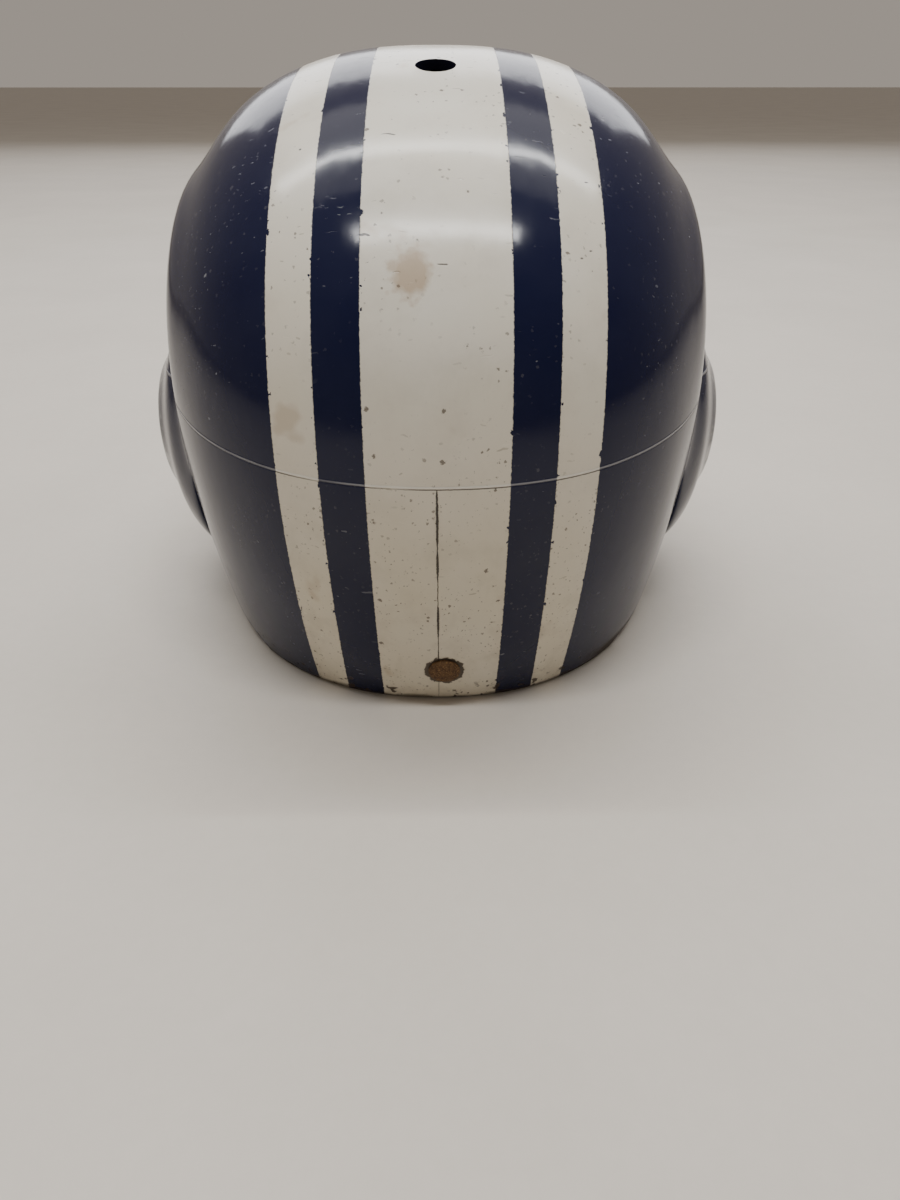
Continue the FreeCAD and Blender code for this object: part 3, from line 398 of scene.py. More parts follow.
def pad_vinyl(finish):
    """Soft vinyl with a pebbled grain, rubbed paler in patches."""
    paint = Paint("pad_vinyl", {"IOR": 1.47})
    warp = paint.node("ShaderNodeVectorMath", {"operation": "MULTIPLY_ADD"}, {
        0: paint.node("ShaderNodeTexNoise", None, {"Vector": paint.place, "Scale": 120.0}).outputs["Color"],
        1: Vector((0.002, 0.002, 0.002)), 2: paint.place}).outputs[0]
    pebble, chance = paint.cells(850.0, warp)
    creases = abs(paint.noise(70.0, 4.0, 0.6) - 0.5).below(0.02, 0.03)
    rubbed = paint.noise(24.0, 4.0, 0.65).above(0.56, 0.2)
    base = tuple(finish.pads)
    colour = paint.blend(rubbed * 0.55, base, tuple(value * 1.9 for value in base))
    colour = paint.blend(pebble.above(0.55, 0.3) * 0.6, colour, tuple(value * 0.45 for value in base))
    colour = paint.blend(creases * 0.5, colour, tuple(value * 0.35 for value in base))
    height = (1.0 - pebble) * 0.09 - creases * 0.12 + chance * 0.02
    rough = 0.42 + 0.14 * rubbed + 0.12 * pebble
    return paint.set(base_color=colour, roughness=rough, normal=paint.bump(height, MM))


def piping_vinyl(finish):
    """Smoother, darker vinyl of the welt round each pad."""
    paint = Paint("pad_piping", {"IOR": 1.47})
    wear = paint.noise(180.0, 4.0, 0.6)
    base = tuple(finish.pads)
    colour = paint.blend(wear.above(0.55, 0.2), tuple(value * 0.55 for value in base),
                         tuple(value * 1.3 for value in base))
    return paint.set(base_color=colour, roughness=0.4 + 0.2 * wear, normal=paint.bump(wear * 0.06, MM))


def strap_plastic():
    """Ivory polythene of the mask's straps and clips, yellowed and scuffed."""
    paint = Paint("strap_plastic", {"Subsurface Weight": 0.12, "Subsurface Radius": (0.002, 0.0016, 0.001)})
    cloud = paint.noise(60.0, 3.0)
    colour = paint.blend(cloud.above(0.5, 0.4), (0.66, 0.63, 0.53), (0.55, 0.49, 0.36))
    marks = paint.highest(long_marks(paint, (0.3, 0.2, 0.9), 2.4, 9.0, 0.07, 0.3),
                          long_marks(paint, (1.3, 0.6, 0.1), 2.8, 12.0, 0.06, 0.3))
    colour = paint.blend(marks * 0.6, colour, (0.20, 0.16, 0.11))
    colour = paint.blend(specks(paint, 2.6, 0.4, 0.3) * 0.7, colour, (0.12, 0.09, 0.06))
    rough = 0.32 + 0.15 * cloud + 0.2 * marks
    return paint.set(base_color=colour, roughness=rough, normal=paint.bump(cloud * 0.08 - marks * 0.05, MM))


def plated_metal():
    """Nickel plate on brass and steel, dulled, with rust creeping in."""
    paint = Paint("plated_steel", {})
    cloud = paint.noise(260.0, 4.0, 0.65)
    pits, chance = paint.cells(1300.0)
    rust = (cloud + 0.25 * paint.noise(1100.0, 3.0)).above(0.72, 0.08)
    colour = paint.blend(cloud, (0.52, 0.50, 0.45), (0.33, 0.31, 0.27))
    colour = paint.blend(rust, colour, (0.20, 0.095, 0.04))
    rough = 0.24 + 0.25 * cloud + 0.35 * rust
    height = rust * 0.06 + pits.below(0.2, 0.1) * chance * -0.04
    return paint.set(base_color=colour, metallic=1.0 - 0.85 * rust, roughness=rough.clamped(),
                     normal=paint.bump(height, MM))


def mask_coating(finish):
    """Grey vinyl dipped on the mask's wires: soft runs, scuffs and a little grime."""
    paint = Paint("mask_coating", {"IOR": 1.48})
    runs = paint.noise(1.0, 3.0, 0.5, paint.moved(scale=(160.0, 160.0, 45.0)))
    scuff = paint.highest(long_marks(paint, (0.4, 0.7, 0.2), 2.6, 10.0, 0.09, 0.3),
                          paint.noise(210.0, 4.0, 0.7).above(0.66, 0.06) * 0.7)
    base = tuple(finish.mask)
    colour = paint.blend(runs.above(0.5, 0.4), base, tuple(value * 0.78 for value in base))
    colour = paint.blend(scuff * 0.75, colour, (0.46, 0.46, 0.45))
    colour = paint.blend(specks(paint, 3.0, 0.5, 0.3) * 0.8, colour, (0.09, 0.075, 0.06))
    rough = 0.3 + 0.18 * runs + 0.25 * scuff
    return paint.set(base_color=colour, roughness=rough, normal=paint.bump(runs * 0.35 - scuff * 0.05, MM))


def cup_plastic():
    """Hard cream plastic of the chin cup, rubbed and marked by the turf."""
    paint = Paint("cup_plastic", {"IOR": 1.5})
    cloud = paint.noise(28.0, 4.0, 0.6)
    marks = paint.highest(long_marks(paint, (0.1, 0.4, 0.2), 3.0, 12.0, 0.08, 0.3),
                          long_marks(paint, (0.2, 0.9, 1.4), 3.4, 10.0, 0.07, 0.25))
    low = paint.axes()[2].below(9.0, 10.0) * paint.noise(120.0, 4.0, 0.7).above(0.5, 0.2)
    colour = paint.blend(cloud.above(0.5, 0.35), (0.68, 0.65, 0.57), (0.58, 0.53, 0.43))
    colour = paint.blend(paint.highest(marks * 0.6, low * 0.5), colour, (0.22, 0.17, 0.12))
    colour = paint.blend(specks(paint, 3.4, 0.5, 0.35) * 0.75, colour, (0.10, 0.08, 0.06))
    rough = 0.28 + 0.16 * cloud + 0.25 * marks
    return paint.set(base_color=colour, roughness=rough,
                     normal=paint.bump(paint.noise(150.0, 2.0) * 0.04 - marks * 0.06, MM))


def cup_felt():
    """Pressed felt inside the chin cup, matted and grubby where the chin sat."""
    paint = Paint("cup_felt", {"Sheen Weight": 0.35, "Sheen Roughness": 0.6})
    fibre = paint.noise(900.0, 6.0, 0.75, distortion=1.5)
    stain = paint.noise(35.0, 4.0, 0.6).above(0.5, 0.3)
    colour = paint.blend(fibre, (0.36, 0.33, 0.27), (0.56, 0.52, 0.44))
    colour = paint.blend(stain * 0.6, colour, (0.25, 0.18, 0.11))
    return paint.set(base_color=colour, roughness=0.85 + 0.1 * fibre, normal=paint.bump(fibre * 0.45, MM))


def woven(finish):
    """Plain-woven cotton webbing; u runs along the strap and v across it, both in metres."""
    paint = Paint("webbing", {"Sheen Weight": 0.25, "Sheen Roughness": 0.5})
    split = paint.node("ShaderNodeSeparateXYZ", None, {0: paint.coords.outputs["UV"]})
    along, across = [Amount(paint, socket) * 1000.0 for socket in split.outputs[:2]]
    pick = along / 1.15
    end = across / 0.8
    row = paint.math("FLOOR", end)
    ribs = abs(paint.math("FRACT", end) - 0.5) * 2.0
    beats = abs(paint.math("FRACT", pick + 0.5 * row) - 0.5) * 2.0
    yarn = (1.0 - ribs * ribs) * (0.55 + 0.45 * (1.0 - beats * beats))
    fuzz = paint.noise(1500.0, 4.0, 0.7)
    soil = paint.noise(40.0, 4.0, 0.65).above(0.5, 0.3)
    base = tuple(finish.webbing)
    colour = paint.blend(yarn, tuple(value * 0.45 for value in base), base)
    colour = paint.blend(soil * 0.5, colour, (0.30, 0.23, 0.15))
    colour = paint.blend(fuzz.above(0.6, 0.15) * 0.3, colour, (0.75, 0.72, 0.65))
    height = yarn * 0.22 + fuzz * 0.06
    return paint.set(base_color=colour, roughness=0.82 - 0.1 * yarn, normal=paint.bump(height, MM))


def sewing_thread():
    paint = Paint("sewing_thread", {"Sheen Weight": 0.2})
    twist = paint.noise(2600.0, 3.0)
    colour = paint.blend(twist, (0.30, 0.26, 0.19), (0.60, 0.56, 0.46))
    return paint.set(base_color=colour, roughness=0.7 + 0.15 * twist, normal=paint.bump(twist * 0.1, MM))


def floor_paint(studio):
    """Pale, faintly mottled floor."""
    paint = Paint("floor", {})
    cloud = paint.noise(6.0, 5.0, 0.6)
    fine = paint.noise(160.0, 4.0, 0.7)
    base = tuple(studio.floor)
    darker = tuple(value * 0.88 for value in base)
    colour = paint.blend((cloud * 0.7 + fine * 0.3).above(0.5, 0.5), base, darker)
    return paint.set(base_color=colour, roughness=0.5 + 0.2 * cloud, normal=paint.bump(fine * 0.1, MM))


# ---- working on pieces

def linked(name, mesh):
    piece = bpy.data.objects.new(name, mesh)
    bpy.context.scene.collection.objects.link(piece)
    return piece


def dress(material, *names):
    """Puts one finish on CAD nodes."""
    for name in names:
        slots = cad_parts[name].data.materials
        slots.clear()
        slots.append(material)


def settle(piece, material, body, smooth=True):
    """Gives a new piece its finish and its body."""
    piece.data.materials.clear()
    piece.data.materials.append(material)
    if smooth:
        piece.data.shade_smooth()
    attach(piece, body)
    return piece


def merged(node):
    """A bmesh of a CAD node with its loose triangles joined."""
    bm = bmesh.new()
    bm.from_mesh(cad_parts[node].data)
    bmesh.ops.remove_doubles(bm, verts=bm.verts, dist=1e-6)
    return bm


def from_bmesh(name, bm):
    mesh = bpy.data.meshes.new(name)
    bm.to_mesh(mesh)
    bm.free()
    return linked(name, mesh)


def baked(piece):
    """Replaces a piece's mesh with what its modifiers make of it."""
    graph = bpy.context.evaluated_depsgraph_get()
    mesh = bpy.data.meshes.new_from_object(piece.evaluated_get(graph))
    piece.modifiers.clear()
    piece.data = mesh
    return piece


def surface(piece):
    """A piece's mesh as it stands, ready for nearest-point searches."""
    return BVHTree.FromObject(piece, bpy.context.evaluated_depsgraph_get())


def smoothstep(value, low, high):
    share = min(1.0, max(0.0, (value - low) / (high - low)))
    return share * share * (3.0 - 2.0 * share)


# ---- pads

HEAD = Vector((0.0, 8.0, 118.0)) * MM      # middle of the head's space
PAD_VOXEL = 0.0048
PAD_START = 0.0015                         # how much smaller a pad starts than its space
PAD_BULGE = 0.0055                         # most that a pad may swell towards the head
PAD_SPREAD = 0.0022                        # most that it may swell sideways
PAD_FRAMES = 20
PAD_PRESSURE = 4.0
CHANNEL_DEPTH = 0.0055
CHANNEL_WIDTH = 0.0048

# Each pad's body and its sewn channels: an axis (0 is X, 1 is Y, 2 is Z) and a place in mm
PADS = {
    "crown_pad": ("shell_assembly", ((0, -21.0), (0, 21.0), (1, -30.0), (1, 12.0))),
    "front_pad": ("shell_assembly", ((0, -21.0), (0, 21.0))),
    "back_pad": ("shell_assembly", ((0, 0.0), (2, 108.0), (2, 143.0))),
    "side_pad_left": ("shell_assembly", ((1, 8.0), (1, 53.0))),
    "side_pad_right": ("shell_assembly", ((1, 8.0), (1, 53.0))),
    "nape_pad": ("shell_assembly", ((2, 38.0),)),
    "jaw_pad_left": ("jaw_pad_left", ((2, 64.0),)),
    "jaw_pad_right": ("jaw_pad_right", ((2, 64.0),)),
}


def pad_blank(node, wall):
    """A slightly small, evenly meshed copy of a pad, with its back held to the shell."""
    piece = from_bmesh(node + "_cover", merged(node))
    remesh = piece.modifiers.new("Even mesh", "REMESH")
    remesh.mode = "VOXEL"
    remesh.voxel_size = PAD_VOXEL
    baked(piece)
    bm = bmesh.new()
    bm.from_mesh(piece.data)
    bmesh.ops.smooth_vert(bm, verts=bm.verts, factor=0.5, use_axis_x=True, use_axis_y=True, use_axis_z=True)
    bm.normal_update()
    gaps = [wall.find_nearest(vertex.co)[3] for vertex in bm.verts]
    for vertex, gap in zip(bm.verts, gaps):
        if gap > 0.002:
            vertex.co -= vertex.normal * PAD_START
    bm.to_mesh(piece.data)
    bm.free()
    held = piece.vertex_groups.new(name="held")
    held.add([place for place, gap in enumerate(gaps) if gap < 0.0035], 1.0, "REPLACE")
    return piece


def add_cloth(piece):
    cloth = piece.modifiers.new("Swell", "CLOTH")
    settings = cloth.settings
    settings.use_pressure = True
    settings.uniform_pressure_force = PAD_PRESSURE
    settings.effector_weights.gravity = 0.0
    settings.vertex_group_mass = "held"
    settings.quality = 5


def cap_swelling(piece, start):
    """Limits how far each vertex moved, towards the head and sideways, and never into the shell."""
    for vertex, before in zip(piece.data.vertices, start):
        inward = (HEAD - before).normalized()
        move = vertex.co - before
        rise = move.dot(inward)
        aside = move - inward * rise
        if aside.length > PAD_SPREAD:
            aside *= PAD_SPREAD / aside.length
        vertex.co = before + aside + inward * min(PAD_BULGE, max(0.0, rise))


def press_channels(piece, wall, channels):
    """Presses the sewn channels into the side of the pad that faces the head."""
    for vertex in piece.data.vertices:
        depth = 0.0
        for axis, place in channels:
            gap = abs(vertex.co[axis] - place * MM) / CHANNEL_WIDTH
            depth = max(depth, math.exp(-gap * gap))
        free = smoothstep(wall.find_nearest(vertex.co)[3], 0.008, 0.02)
        vertex.co -= (HEAD - vertex.co).normalized() * CHANNEL_DEPTH * depth * free


def edge_loops(chosen):
    """Orders edges into closed runs of vertex places."""
    waiting = dict.fromkeys(chosen)
    loops = []
    while waiting:
        edge = next(iter(waiting))
        del waiting[edge]
        first, here = edge.verts
        run = [first.co.copy(), here.co.copy()]
        while here != first:
            following = [near for near in here.link_edges if near in waiting]
            if not following:
                break
            del waiting[following[0]]
            here = following[0].other_vert(here)
            run.append(here.co.copy())
        if here == first:
            loops.append(run[:-1])
    return loops


def evened(run, spacing):
    """A closed run of places, spaced evenly and smoothed."""
    ends = run[1:] + run[:1]
    lengths = [(b - a).length for a, b in zip(run, ends)]
    total = sum(lengths)
    count = max(12, int(total / spacing))
    places = []
    walked = 0.0
    step = 0
    for number in range(count):
        target = total * number / count
        while walked + lengths[step] < target:
            walked += lengths[step]
            step += 1
        share = (target - walked) / max(lengths[step], 1e-9)
        places.append(run[step].lerp(ends[step], share))
    for _ in range(3):
        places = [(places[place - 1] + here * 2.0 + places[(place + 1) % count]) / 4.0
                  for place, here in enumerate(places)]
    return places


def tube(name, places, radius, closed=True):
    """A round cord of vinyl or thread along places, as a mesh."""
    curve = bpy.data.curves.new(name, "CURVE")
    curve.dimensions = "3D"
    curve.bevel_depth = radius
    curve.bevel_resolution = 2
    curve.use_fill_caps = not closed
    spline = curve.splines.new("NURBS")
    spline.points.add(len(places) - 1)
    for point, place in zip(spline.points, places):
        point.co = (*place, 1.0)
    spline.order_u = 4
    spline.use_cyclic_u = closed
    spline.use_endpoint_u = not closed
    spline.resolution_u = 2
    shape = bpy.data.objects.new(name, curve)
    bpy.context.scene.collection.objects.link(shape)
    graph = bpy.context.evaluated_depsgraph_get()
    mesh = bpy.data.meshes.new_from_object(shape.evaluated_get(graph))
    bpy.data.objects.remove(shape)
    return mesh


def add_piping(node, cover, body, material, wall):
    """Welt piping where a pad's face meets its sides."""
    bm = merged(node)
    bmesh.ops.dissolve_degenerate(bm, dist=1e-6, edges=bm.edges)
    bm.normal_update()
    on_face = set()
    for face in bm.faces:
        middle = face.calc_center_median()
        away = middle - wall.find_nearest(middle)[0]
        if face.normal.dot(away.normalized()) > 0.85 and away.length > 0.015:
            on_face.add(face)
    chosen = [edge for edge in bm.edges
              if len(edge.link_faces) == 2
              and (edge.link_faces[0] in on_face) != (edge.link_faces[1] in on_face)]
    skin = surface(cover)
    loops = edge_loops(chosen)
    bm.free()
    cords = bmesh.new()
    for run in loops:
        places = []
        for place in evened(run, 0.004):
            near, normal, _, _ = skin.find_nearest(place)
            places.append(near + normal * 0.0004)
        cords.from_mesh(tube(node + "_cord", places, 0.0016))
    if not loops:
        raise RuntimeError("no edge found for the piping of " + node)
    settle(from_bmesh(node + "_piping", cords), material, body)


def make_all_pads(finish):
    """Swells every pad at once, then presses channels and adds piping."""
    vinyl = pad_vinyl(finish)
    welt = piping_vinyl(finish)
    wall = surface(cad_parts["shell"])
    covers = {node: pad_blank(node, wall) for node in PADS}
    starts = {node: [vertex.co.copy() for vertex in cover.data.vertices] for node, cover in covers.items()}
    for cover in covers.values():
        add_cloth(cover)
    for step in range(1, PAD_FRAMES + 1):
        bpy.context.scene.frame_set(step)
    for node, cover in covers.items():
        baked(cover)
        cap_swelling(cover, starts[node])
    bpy.context.scene.frame_set(1)
    for node, cover in covers.items():
        body, channels = PADS[node]
        press_channels(cover, wall, channels)
        smooth = cover.modifiers.new("Smooth", "SUBSURF")
        smooth.levels = 1
        smooth.render_levels = 1
        baked(cover)
        settle(cover, vinyl, body)
        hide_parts(node)
        add_piping(node, cover, body, welt, wall)


# ---- chin strap

STRAP_BEND_Y = -59.45 * MM
SNAP_RUN = 9.5 * MM           # straight strap in front of the snap's middle
BEND_INSET = 8.0 * MM         # how far the strap has turned in at its second bend
CUP_OVERLAP = 7.0 * MM
WEB_THICKNESS = 0.0018
STUD_HOLE = 0.0037


def bent_path(corners, radii, spacing):
    """Even places along straight runs whose inner corners are rounded."""
    places = [corners[0]]
    for here, before, after, radius in zip(corners[1:-1], corners[:-2], corners[2:], radii):
        back = (before - here).normalized()
        ahead = (after - here).normalized()
        run = radius / math.tan(0.5 * back.angle(ahead))
        pull = 0.45
        places += interpolate_bezier(here + back * run, here + back * run * pull,
                                     here + ahead * run * pull, here + ahead * run, 9)
    places.append(corners[-1])
    lengths = [(b - a).length for a, b in zip(places, places[1:])]
    total = sum(lengths)
    count = round(total / spacing)
    even = []
    for number in range(count + 1):
        target = total * number / count
        step = 0
        while step < len(lengths) - 1 and target > lengths[step]:
            target -= lengths[step]
            step += 1
        even.append(places[step].lerp(places[step + 1], min(1.0, target / max(lengths[step], 1e-9))))
    return even, total


def strap_corners(side):
    """Corners of the strap's middle line, from its snap to the cup, seen from above."""
    low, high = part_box("chin_strap_left")
    cup_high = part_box("chin_cup")[1]
    half = 0.5 * 2.0 * MM
    outer = high.x - half
    inner = low.x + half
    snap = frame_point("chin_snap_caps").y
    flat = [(outer, high.y - 0.4 * MM), (outer, snap - SNAP_RUN), (outer - BEND_INSET, STRAP_BEND_Y),
            (inner, cup_high.y + 1.0 * MM), (inner, cup_high.y - CUP_OVERLAP + 0.4 * MM)]
    return [Vector((side * x, y, 0.5 * (low.z + high.z))) for x, y in flat]


def frame_point(node):
    low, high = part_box(node)
    return (Vector(low) + Vector(high)) * 0.5


def make_strap(side, name, body, material, thread):
    """Woven strap with a hole for its stud, a turned end and rows of stitches."""
    width = 16.6 * MM
    places, length = bent_path(strap_corners(side), (9 * MM, 6 * MM, 5 * MM), 1.6 * MM)
    snap = frame_point("chin_snap_caps")
    bm = bmesh.new()
    layer = bm.loops.layers.uv.new("UVMap")
    bmesh.ops.create_grid(bm, x_segments=len(places) - 1, y_segments=10, size=0.5, calc_uvs=True)
    for face in bm.faces:
        for loop in face.loops:
            loop[layer].uv = (loop[layer].uv.x * length, loop[layer].uv.y * width)
    for vertex in bm.verts:
        place = round((vertex.co.x + 0.5) * (len(places) - 1))
        here = places[place]
        vertex.co = Vector((here.x, here.y, here.z + vertex.co.y * width))
    hole = [face for face in bm.faces if (face.calc_center_median() - snap).yz.length < STUD_HOLE]
    bmesh.ops.delete(bm, geom=hole, context="FACES")
    for vertex in bm.verts:
        around = Vector((0.0, vertex.co.y - snap.y, vertex.co.z - snap.z))
        near_hole = any(edge.is_boundary for edge in vertex.link_edges) and around.length < 2.0 * STUD_HOLE
        if near_hole and abs(vertex.co.x) > abs(places[0].x) - 1e-4:
            vertex.co += around.normalized() * (STUD_HOLE - around.length)
    strap = from_bmesh(name, bm)
    solid = strap.modifiers.new("Thickness", "SOLIDIFY")
    solid.thickness = WEB_THICKNESS
    solid.offset = 0.0
    edges = strap.modifiers.new("Edges", "BEVEL")
    edges.width = 0.0004
    edges.segments = 2
    edges.limit_method = "ANGLE"
    baked(strap)
    settle(strap, material, body)

    sewn = bmesh.new()
    outward = 0.5 * WEB_THICKNESS + 0.0001
    for back in (2, 5):
        here = places[back - len(places)]
        for number in range(6):
            up = (number - 2.5) * 2.6 * MM
            add_stitch(sewn, here + Vector((side * outward, 0, up)), Vector((0, 0, 1)))
    for forward in (12.4, 14.6):
        here = places[0] + Vector((side * outward, -forward * MM - 3.0 * MM, 0))
        for number in range(6):
            add_stitch(sewn, here + Vector((0, 0, (number - 2.5) * 2.6 * MM)), Vector((0, 0, 1)))
    settle(from_bmesh(name + "_stitches", sewn), thread, body)
    return strap


def add_stitch(bm, place, along):
    """One short run of thread, a small long bead."""
    added = bmesh.ops.create_uvsphere(bm, u_segments=8, v_segments=6, radius=1.0)["verts"]
    turn = along.to_track_quat("Z", "Y").to_matrix().to_4x4()
    size = Matrix.Diagonal((0.35 * MM, 0.35 * MM, 1.1 * MM, 1.0))
    bmesh.ops.transform(bm, matrix=Matrix.Translation(place) @ turn @ size, verts=added)


def make_cup_lining(material):
    """Felt pad inside the cup, with softened edges and a slightly matted face."""
    piece = from_bmesh("cup_felt_lining", merged("chin_cup_lining"))
    remesh = piece.modifiers.new("Even mesh", "REMESH")
    remesh.mode = "VOXEL"
    remesh.voxel_size = 0.0011
    baked(piece)
    bm = bmesh.new()
    bm.from_mesh(piece.data)
    for _ in range(3):
        bmesh.ops.smooth_vert(bm, verts=bm.verts, factor=0.5,
                              use_axis_x=True, use_axis_y=True, use_axis_z=True)
    for vertex in bm.verts:
        wave = noise.noise(vertex.co * 220.0)
        vertex.co += vertex.normal * 0.00018 * (wave - 0.6)
    bm.to_mesh(piece.data)
    bm.free()
    settle(piece, material, "chin_strap")
    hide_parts("chin_cup_lining")


# ---- mask welds

def make_welds(material):
    """Vinyl-covered weld beads where the mask's wires cross."""
    bm = bmesh.new()
    radius = 0.5 * (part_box("mask_side_wire_left")[1].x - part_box("mask_side_wire_left")[0].x)
    for bar in ("mask_brow_wire", "mask_upper_bar", "mask_lower_bar"):
        height = frame_point(bar).z
        for wire in ("mask_side_wire_left", "mask_side_wire_right"):
            here = frame_point(wire)
            add_bead(bm, Vector((here.x, here.y - 0.0012, height)), (1.32, 1.5, 1.75), radius)
    for bar in ("mask_upper_bar", "mask_lower_bar"):
        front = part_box(bar)[0].y + radius
        for post in ("mask_post_left", "mask_post_right"):
            here = frame_point(post)
            middle = Vector((here.x, 0.5 * (front + here.y), frame_point(bar).z))
            add_bead(bm, middle, (1.7, 1.42, 1.7), radius)
    settle(from_bmesh("mask_welds", bm), material, "face_mask")


def add_bead(bm, place, shape, radius):
    added = bmesh.ops.create_uvsphere(bm, u_segments=24, v_segments=16, radius=radius)["verts"]
    size = Matrix.Diagonal((*shape, 1.0))
    bmesh.ops.transform(bm, matrix=Matrix.Translation(place) @ size, verts=added)


# ---- studio

CAMERA_PLACE = Vector((-1.0, 406.0, 218.0)) * MM
CAMERA_AIM = Vector((-0.01, -0.846, -0.533))
CAMERA_LENS = 25.0

# Lamps, in metres; the first two hang over the crown
TUBE_OFFSET = Vector((0.0, -0.6, 1.6))
TUBE_SIZE = (2.6, 0.05)
PANEL_OFFSET = Vector((0.0, 0.3, 1.6))
PANEL_SIZE = (1.2, 0.1)
CEILING_PLACE = Vector((0.0, -0.9, 2.6))
CEILING_SIZE = (3.0, 1.6)
WASH_PLACE = Vector((0.0, -2.6, 1.5))
WASH_SIZE = (3.4, 1.2)
ROOM_COLOUR = (0.32, 0.285, 0.25, 1.0)
ROOM_BRIGHT = 1.1          # strength of the room's light from in front of the helmet
ROOM_DIM = 0.5             # and from behind it


def add_panel(name, place, aim, width, depth, power, colour=(1.0, 1.0, 1.0)):
    lamp = bpy.data.lights.new(name, "AREA")
    lamp.shape = "RECTANGLE"
    lamp.size = width
    lamp.size_y = depth
    lamp.energy = power
    lamp.color = colour
    piece = bpy.data.objects.new(name, lamp)
    bpy.context.scene.collection.objects.link(piece)
    piece.location = place
    piece.rotation_euler = (aim - place).to_track_quat("-Z", "Y").to_euler()
    return piece


def make_floor(material):
    bm = bmesh.new()
    bmesh.ops.create_grid(bm, x_segments=8, y_segments=8, size=20.0)
    floor = from_bmesh("studio_floor", bm)
    floor.data.materials.append(material)


def light_studio(studio):
    """A long tube and a panel over the crown, two wide soft lights and a dim warm room."""
    crown = Vector((0.0, 90.0 - ORIGIN_Y, 195.0)) * MM
    add_panel("tube", crown + TUBE_OFFSET, crown, *TUBE_SIZE, studio.key * 0.8)
    add_panel("panel", crown + PANEL_OFFSET, crown, *PANEL_SIZE, studio.key * 0.7)
    add_panel("ceiling", CEILING_PLACE, crown, *CEILING_SIZE, studio.key * 0.7, (1.0, 0.97, 0.93))
    add_panel("front_wash", WASH_PLACE, crown, *WASH_SIZE, studio.key * 1.4, (0.95, 0.96, 1.0))
    world = bpy.data.worlds.new("room")
    world.use_nodes = True
    tree = world.node_tree
    backdrop = tree.nodes["Background"]
    split = tree.nodes.new("ShaderNodeSeparateXYZ")
    tree.links.new(tree.nodes.new("ShaderNodeTexCoord").outputs["Generated"], split.inputs[0])
    side = tree.nodes.new("ShaderNodeMapRange")
    side.inputs["From Min"].default_value = -0.5
    side.inputs["From Max"].default_value = 0.7
    side.inputs["To Min"].default_value = ROOM_BRIGHT
    side.inputs["To Max"].default_value = ROOM_DIM
    tree.links.new(split.outputs["Y"], side.inputs["Value"])
    tree.links.new(side.outputs[0], backdrop.inputs["Strength"])
    backdrop.inputs["Color"].default_value = ROOM_COLOUR
    bpy.context.scene.world = world


def place_camera():
    camera = bpy.data.cameras.new("camera")
    camera.lens = CAMERA_LENS
    camera.sensor_width = 36.0
    camera.clip_start = 0.01
    camera.dof.use_dof = False
    view = bpy.data.objects.new("camera", camera)
    bpy.context.scene.collection.objects.link(view)
    view.location = CAMERA_PLACE
    view.rotation_euler = CAMERA_AIM.to_track_quat("-Z", "Y").to_euler()
    bpy.context.scene.camera = view


# ---- the add-on's operators and panel

class HELMET_OT_shell(bpy.types.Operator):
    """Paint the moulded shell and its stripes"""
    bl_idname = "helmet.shell"
    bl_label = "Shell"

    def execute(self, context):
        dress(shell_paint(context.scene.helmet_finish, context.scene.helmet_stripes), "shell")
        return {"FINISHED"}


class HELMET_OT_hardware(bpy.types.Operator):
    """Finish the rivet, screws, nuts, snaps and buckles"""
    bl_idname = "helmet.hardware"
    bl_label = "Rivet, screws and snaps"

    def execute(self, context):
        dress(rusty_metal(), "nape_rivet", "nape_washer")
        dress(plated_metal(), "brow_screws", "brow_nuts", "side_clip_screws", "side_clip_nuts",
              "chin_snap_studs",
              "chin_snap_nuts", "jaw_pad_studs", "jaw_socket_left", "jaw_socket_right", "chin_snap_caps",
              "chin_buckles")
        return {"FINISHED"}


class HELMET_OT_mask(bpy.types.Operator):
    """Coat the mask's wires, add its weld beads and finish its straps and clips"""
    bl_idname = "helmet.mask"
    bl_label = "Face mask"

    def execute(self, context):
        coating = mask_coating(context.scene.helmet_finish)
        dress(coating, "mask_brow_wire", "mask_upper_bar", "mask_lower_bar", "mask_side_wire_left",
              "mask_side_wire_right", "mask_post_left", "mask_post_right")
        make_welds(coating)
        dress(strap_plastic(), "brow_strap_left", "brow_strap_right", "side_clip_left", "side_clip_right")
        return {"FINISHED"}


class HELMET_OT_pads(bpy.types.Operator):
    """Swell the liner's pads and sew their channels and piping"""
    bl_idname = "helmet.pads"
    bl_label = "Pads"

    def execute(self, context):
        make_all_pads(context.scene.helmet_finish)
        return {"FINISHED"}


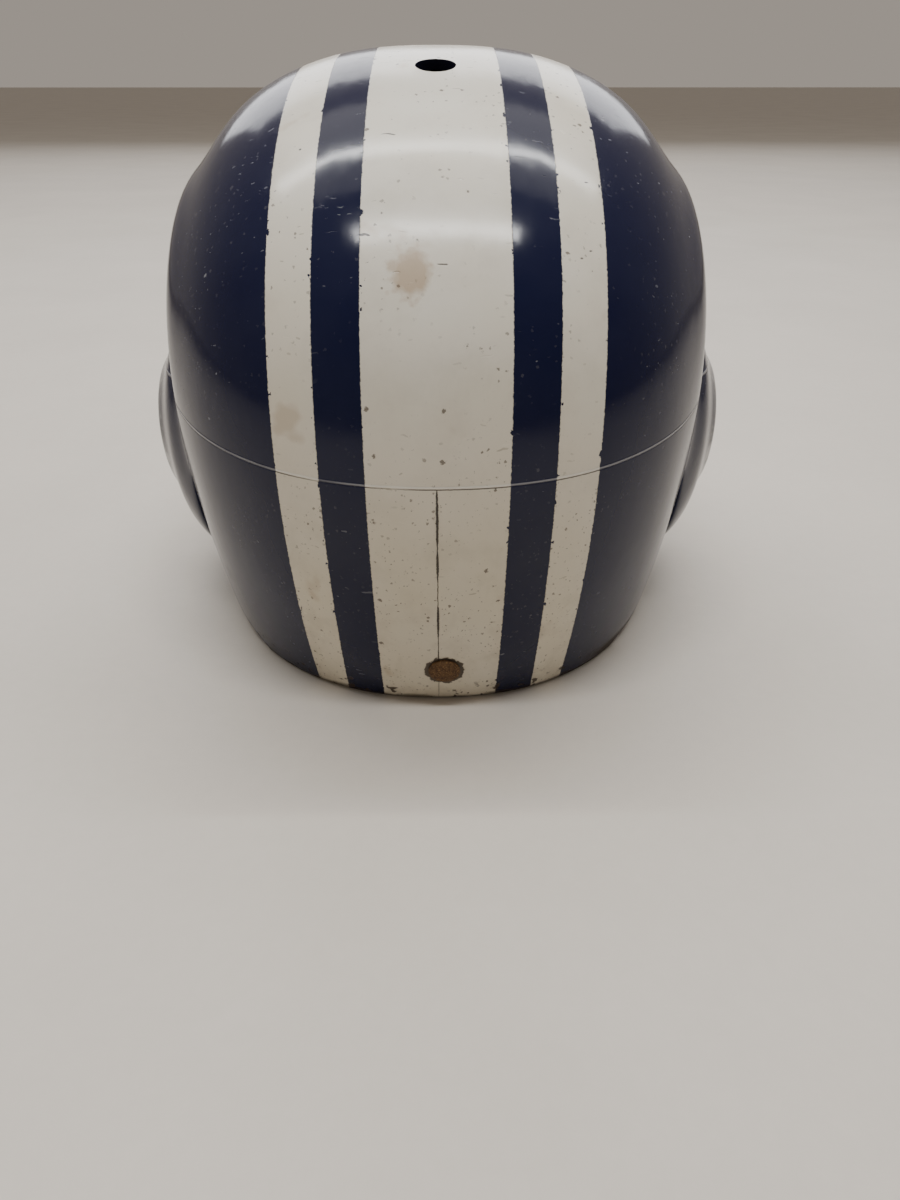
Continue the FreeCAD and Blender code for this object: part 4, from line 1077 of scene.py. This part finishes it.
class HELMET_OT_chin_strap(bpy.types.Operator):
    """Make the chin cup's finish and lining and both woven straps"""
    bl_idname = "helmet.chin_strap"
    bl_label = "Chin strap"

    def execute(self, context):
        dress(cup_plastic(), "chin_cup")
        make_cup_lining(cup_felt())
        material = woven(context.scene.helmet_finish)
        thread = sewing_thread()
        for side, node in ((1, "chin_strap_left"), (-1, "chin_strap_right")):
            strap = make_strap(side, node + "_webbing", "chin_strap", material, thread)
            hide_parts(node)
        return {"FINISHED"}


class HELMET_OT_studio(bpy.types.Operator):
    """Lay the floor, hang the lamps and place the camera"""
    bl_idname = "helmet.studio"
    bl_label = "Studio"

    def execute(self, context):
        make_floor(floor_paint(context.scene.helmet_studio))
        light_studio(context.scene.helmet_studio)
        place_camera()
        return {"FINISHED"}


STEPS = (HELMET_OT_shell, HELMET_OT_hardware, HELMET_OT_mask, HELMET_OT_pads, HELMET_OT_chin_strap,
         HELMET_OT_studio)


class HELMET_PT_parts(bpy.types.Panel):
    """Lists the helmet's pieces in the order they are made"""
    bl_idname = "HELMET_PT_parts"
    bl_label = "Helmet"
    bl_space_type = "VIEW_3D"
    bl_region_type = "UI"
    bl_category = "Helmet"

    def draw(self, context):
        scene = context.scene
        for settings in (scene.helmet_stripes, scene.helmet_finish, scene.helmet_studio):
            box = self.layout.box()
            for name in settings.bl_rna.properties.keys():
                if name not in ("rna_type", "name"):
                    box.prop(settings, name)
        for step in STEPS:
            self.layout.operator(step.bl_idname)


SETTINGS = (StripeSettings, FinishSettings, StudioSettings)


def register():
    for kind in SETTINGS + STEPS + (HELMET_PT_parts,):
        bpy.utils.register_class(kind)
    bpy.types.Scene.helmet_stripes = PointerProperty(type=StripeSettings)
    bpy.types.Scene.helmet_finish = PointerProperty(type=FinishSettings)
    bpy.types.Scene.helmet_studio = PointerProperty(type=StudioSettings)


def unregister():
    del bpy.types.Scene.helmet_studio
    del bpy.types.Scene.helmet_finish
    del bpy.types.Scene.helmet_stripes
    for kind in reversed(SETTINGS + STEPS + (HELMET_PT_parts,)):
        bpy.utils.unregister_class(kind)


def main():
    register()
    for step in STEPS:
        family, name = step.bl_idname.split(".")
        getattr(getattr(bpy.ops, family), name)()


if __name__ == "__main__":
    main()
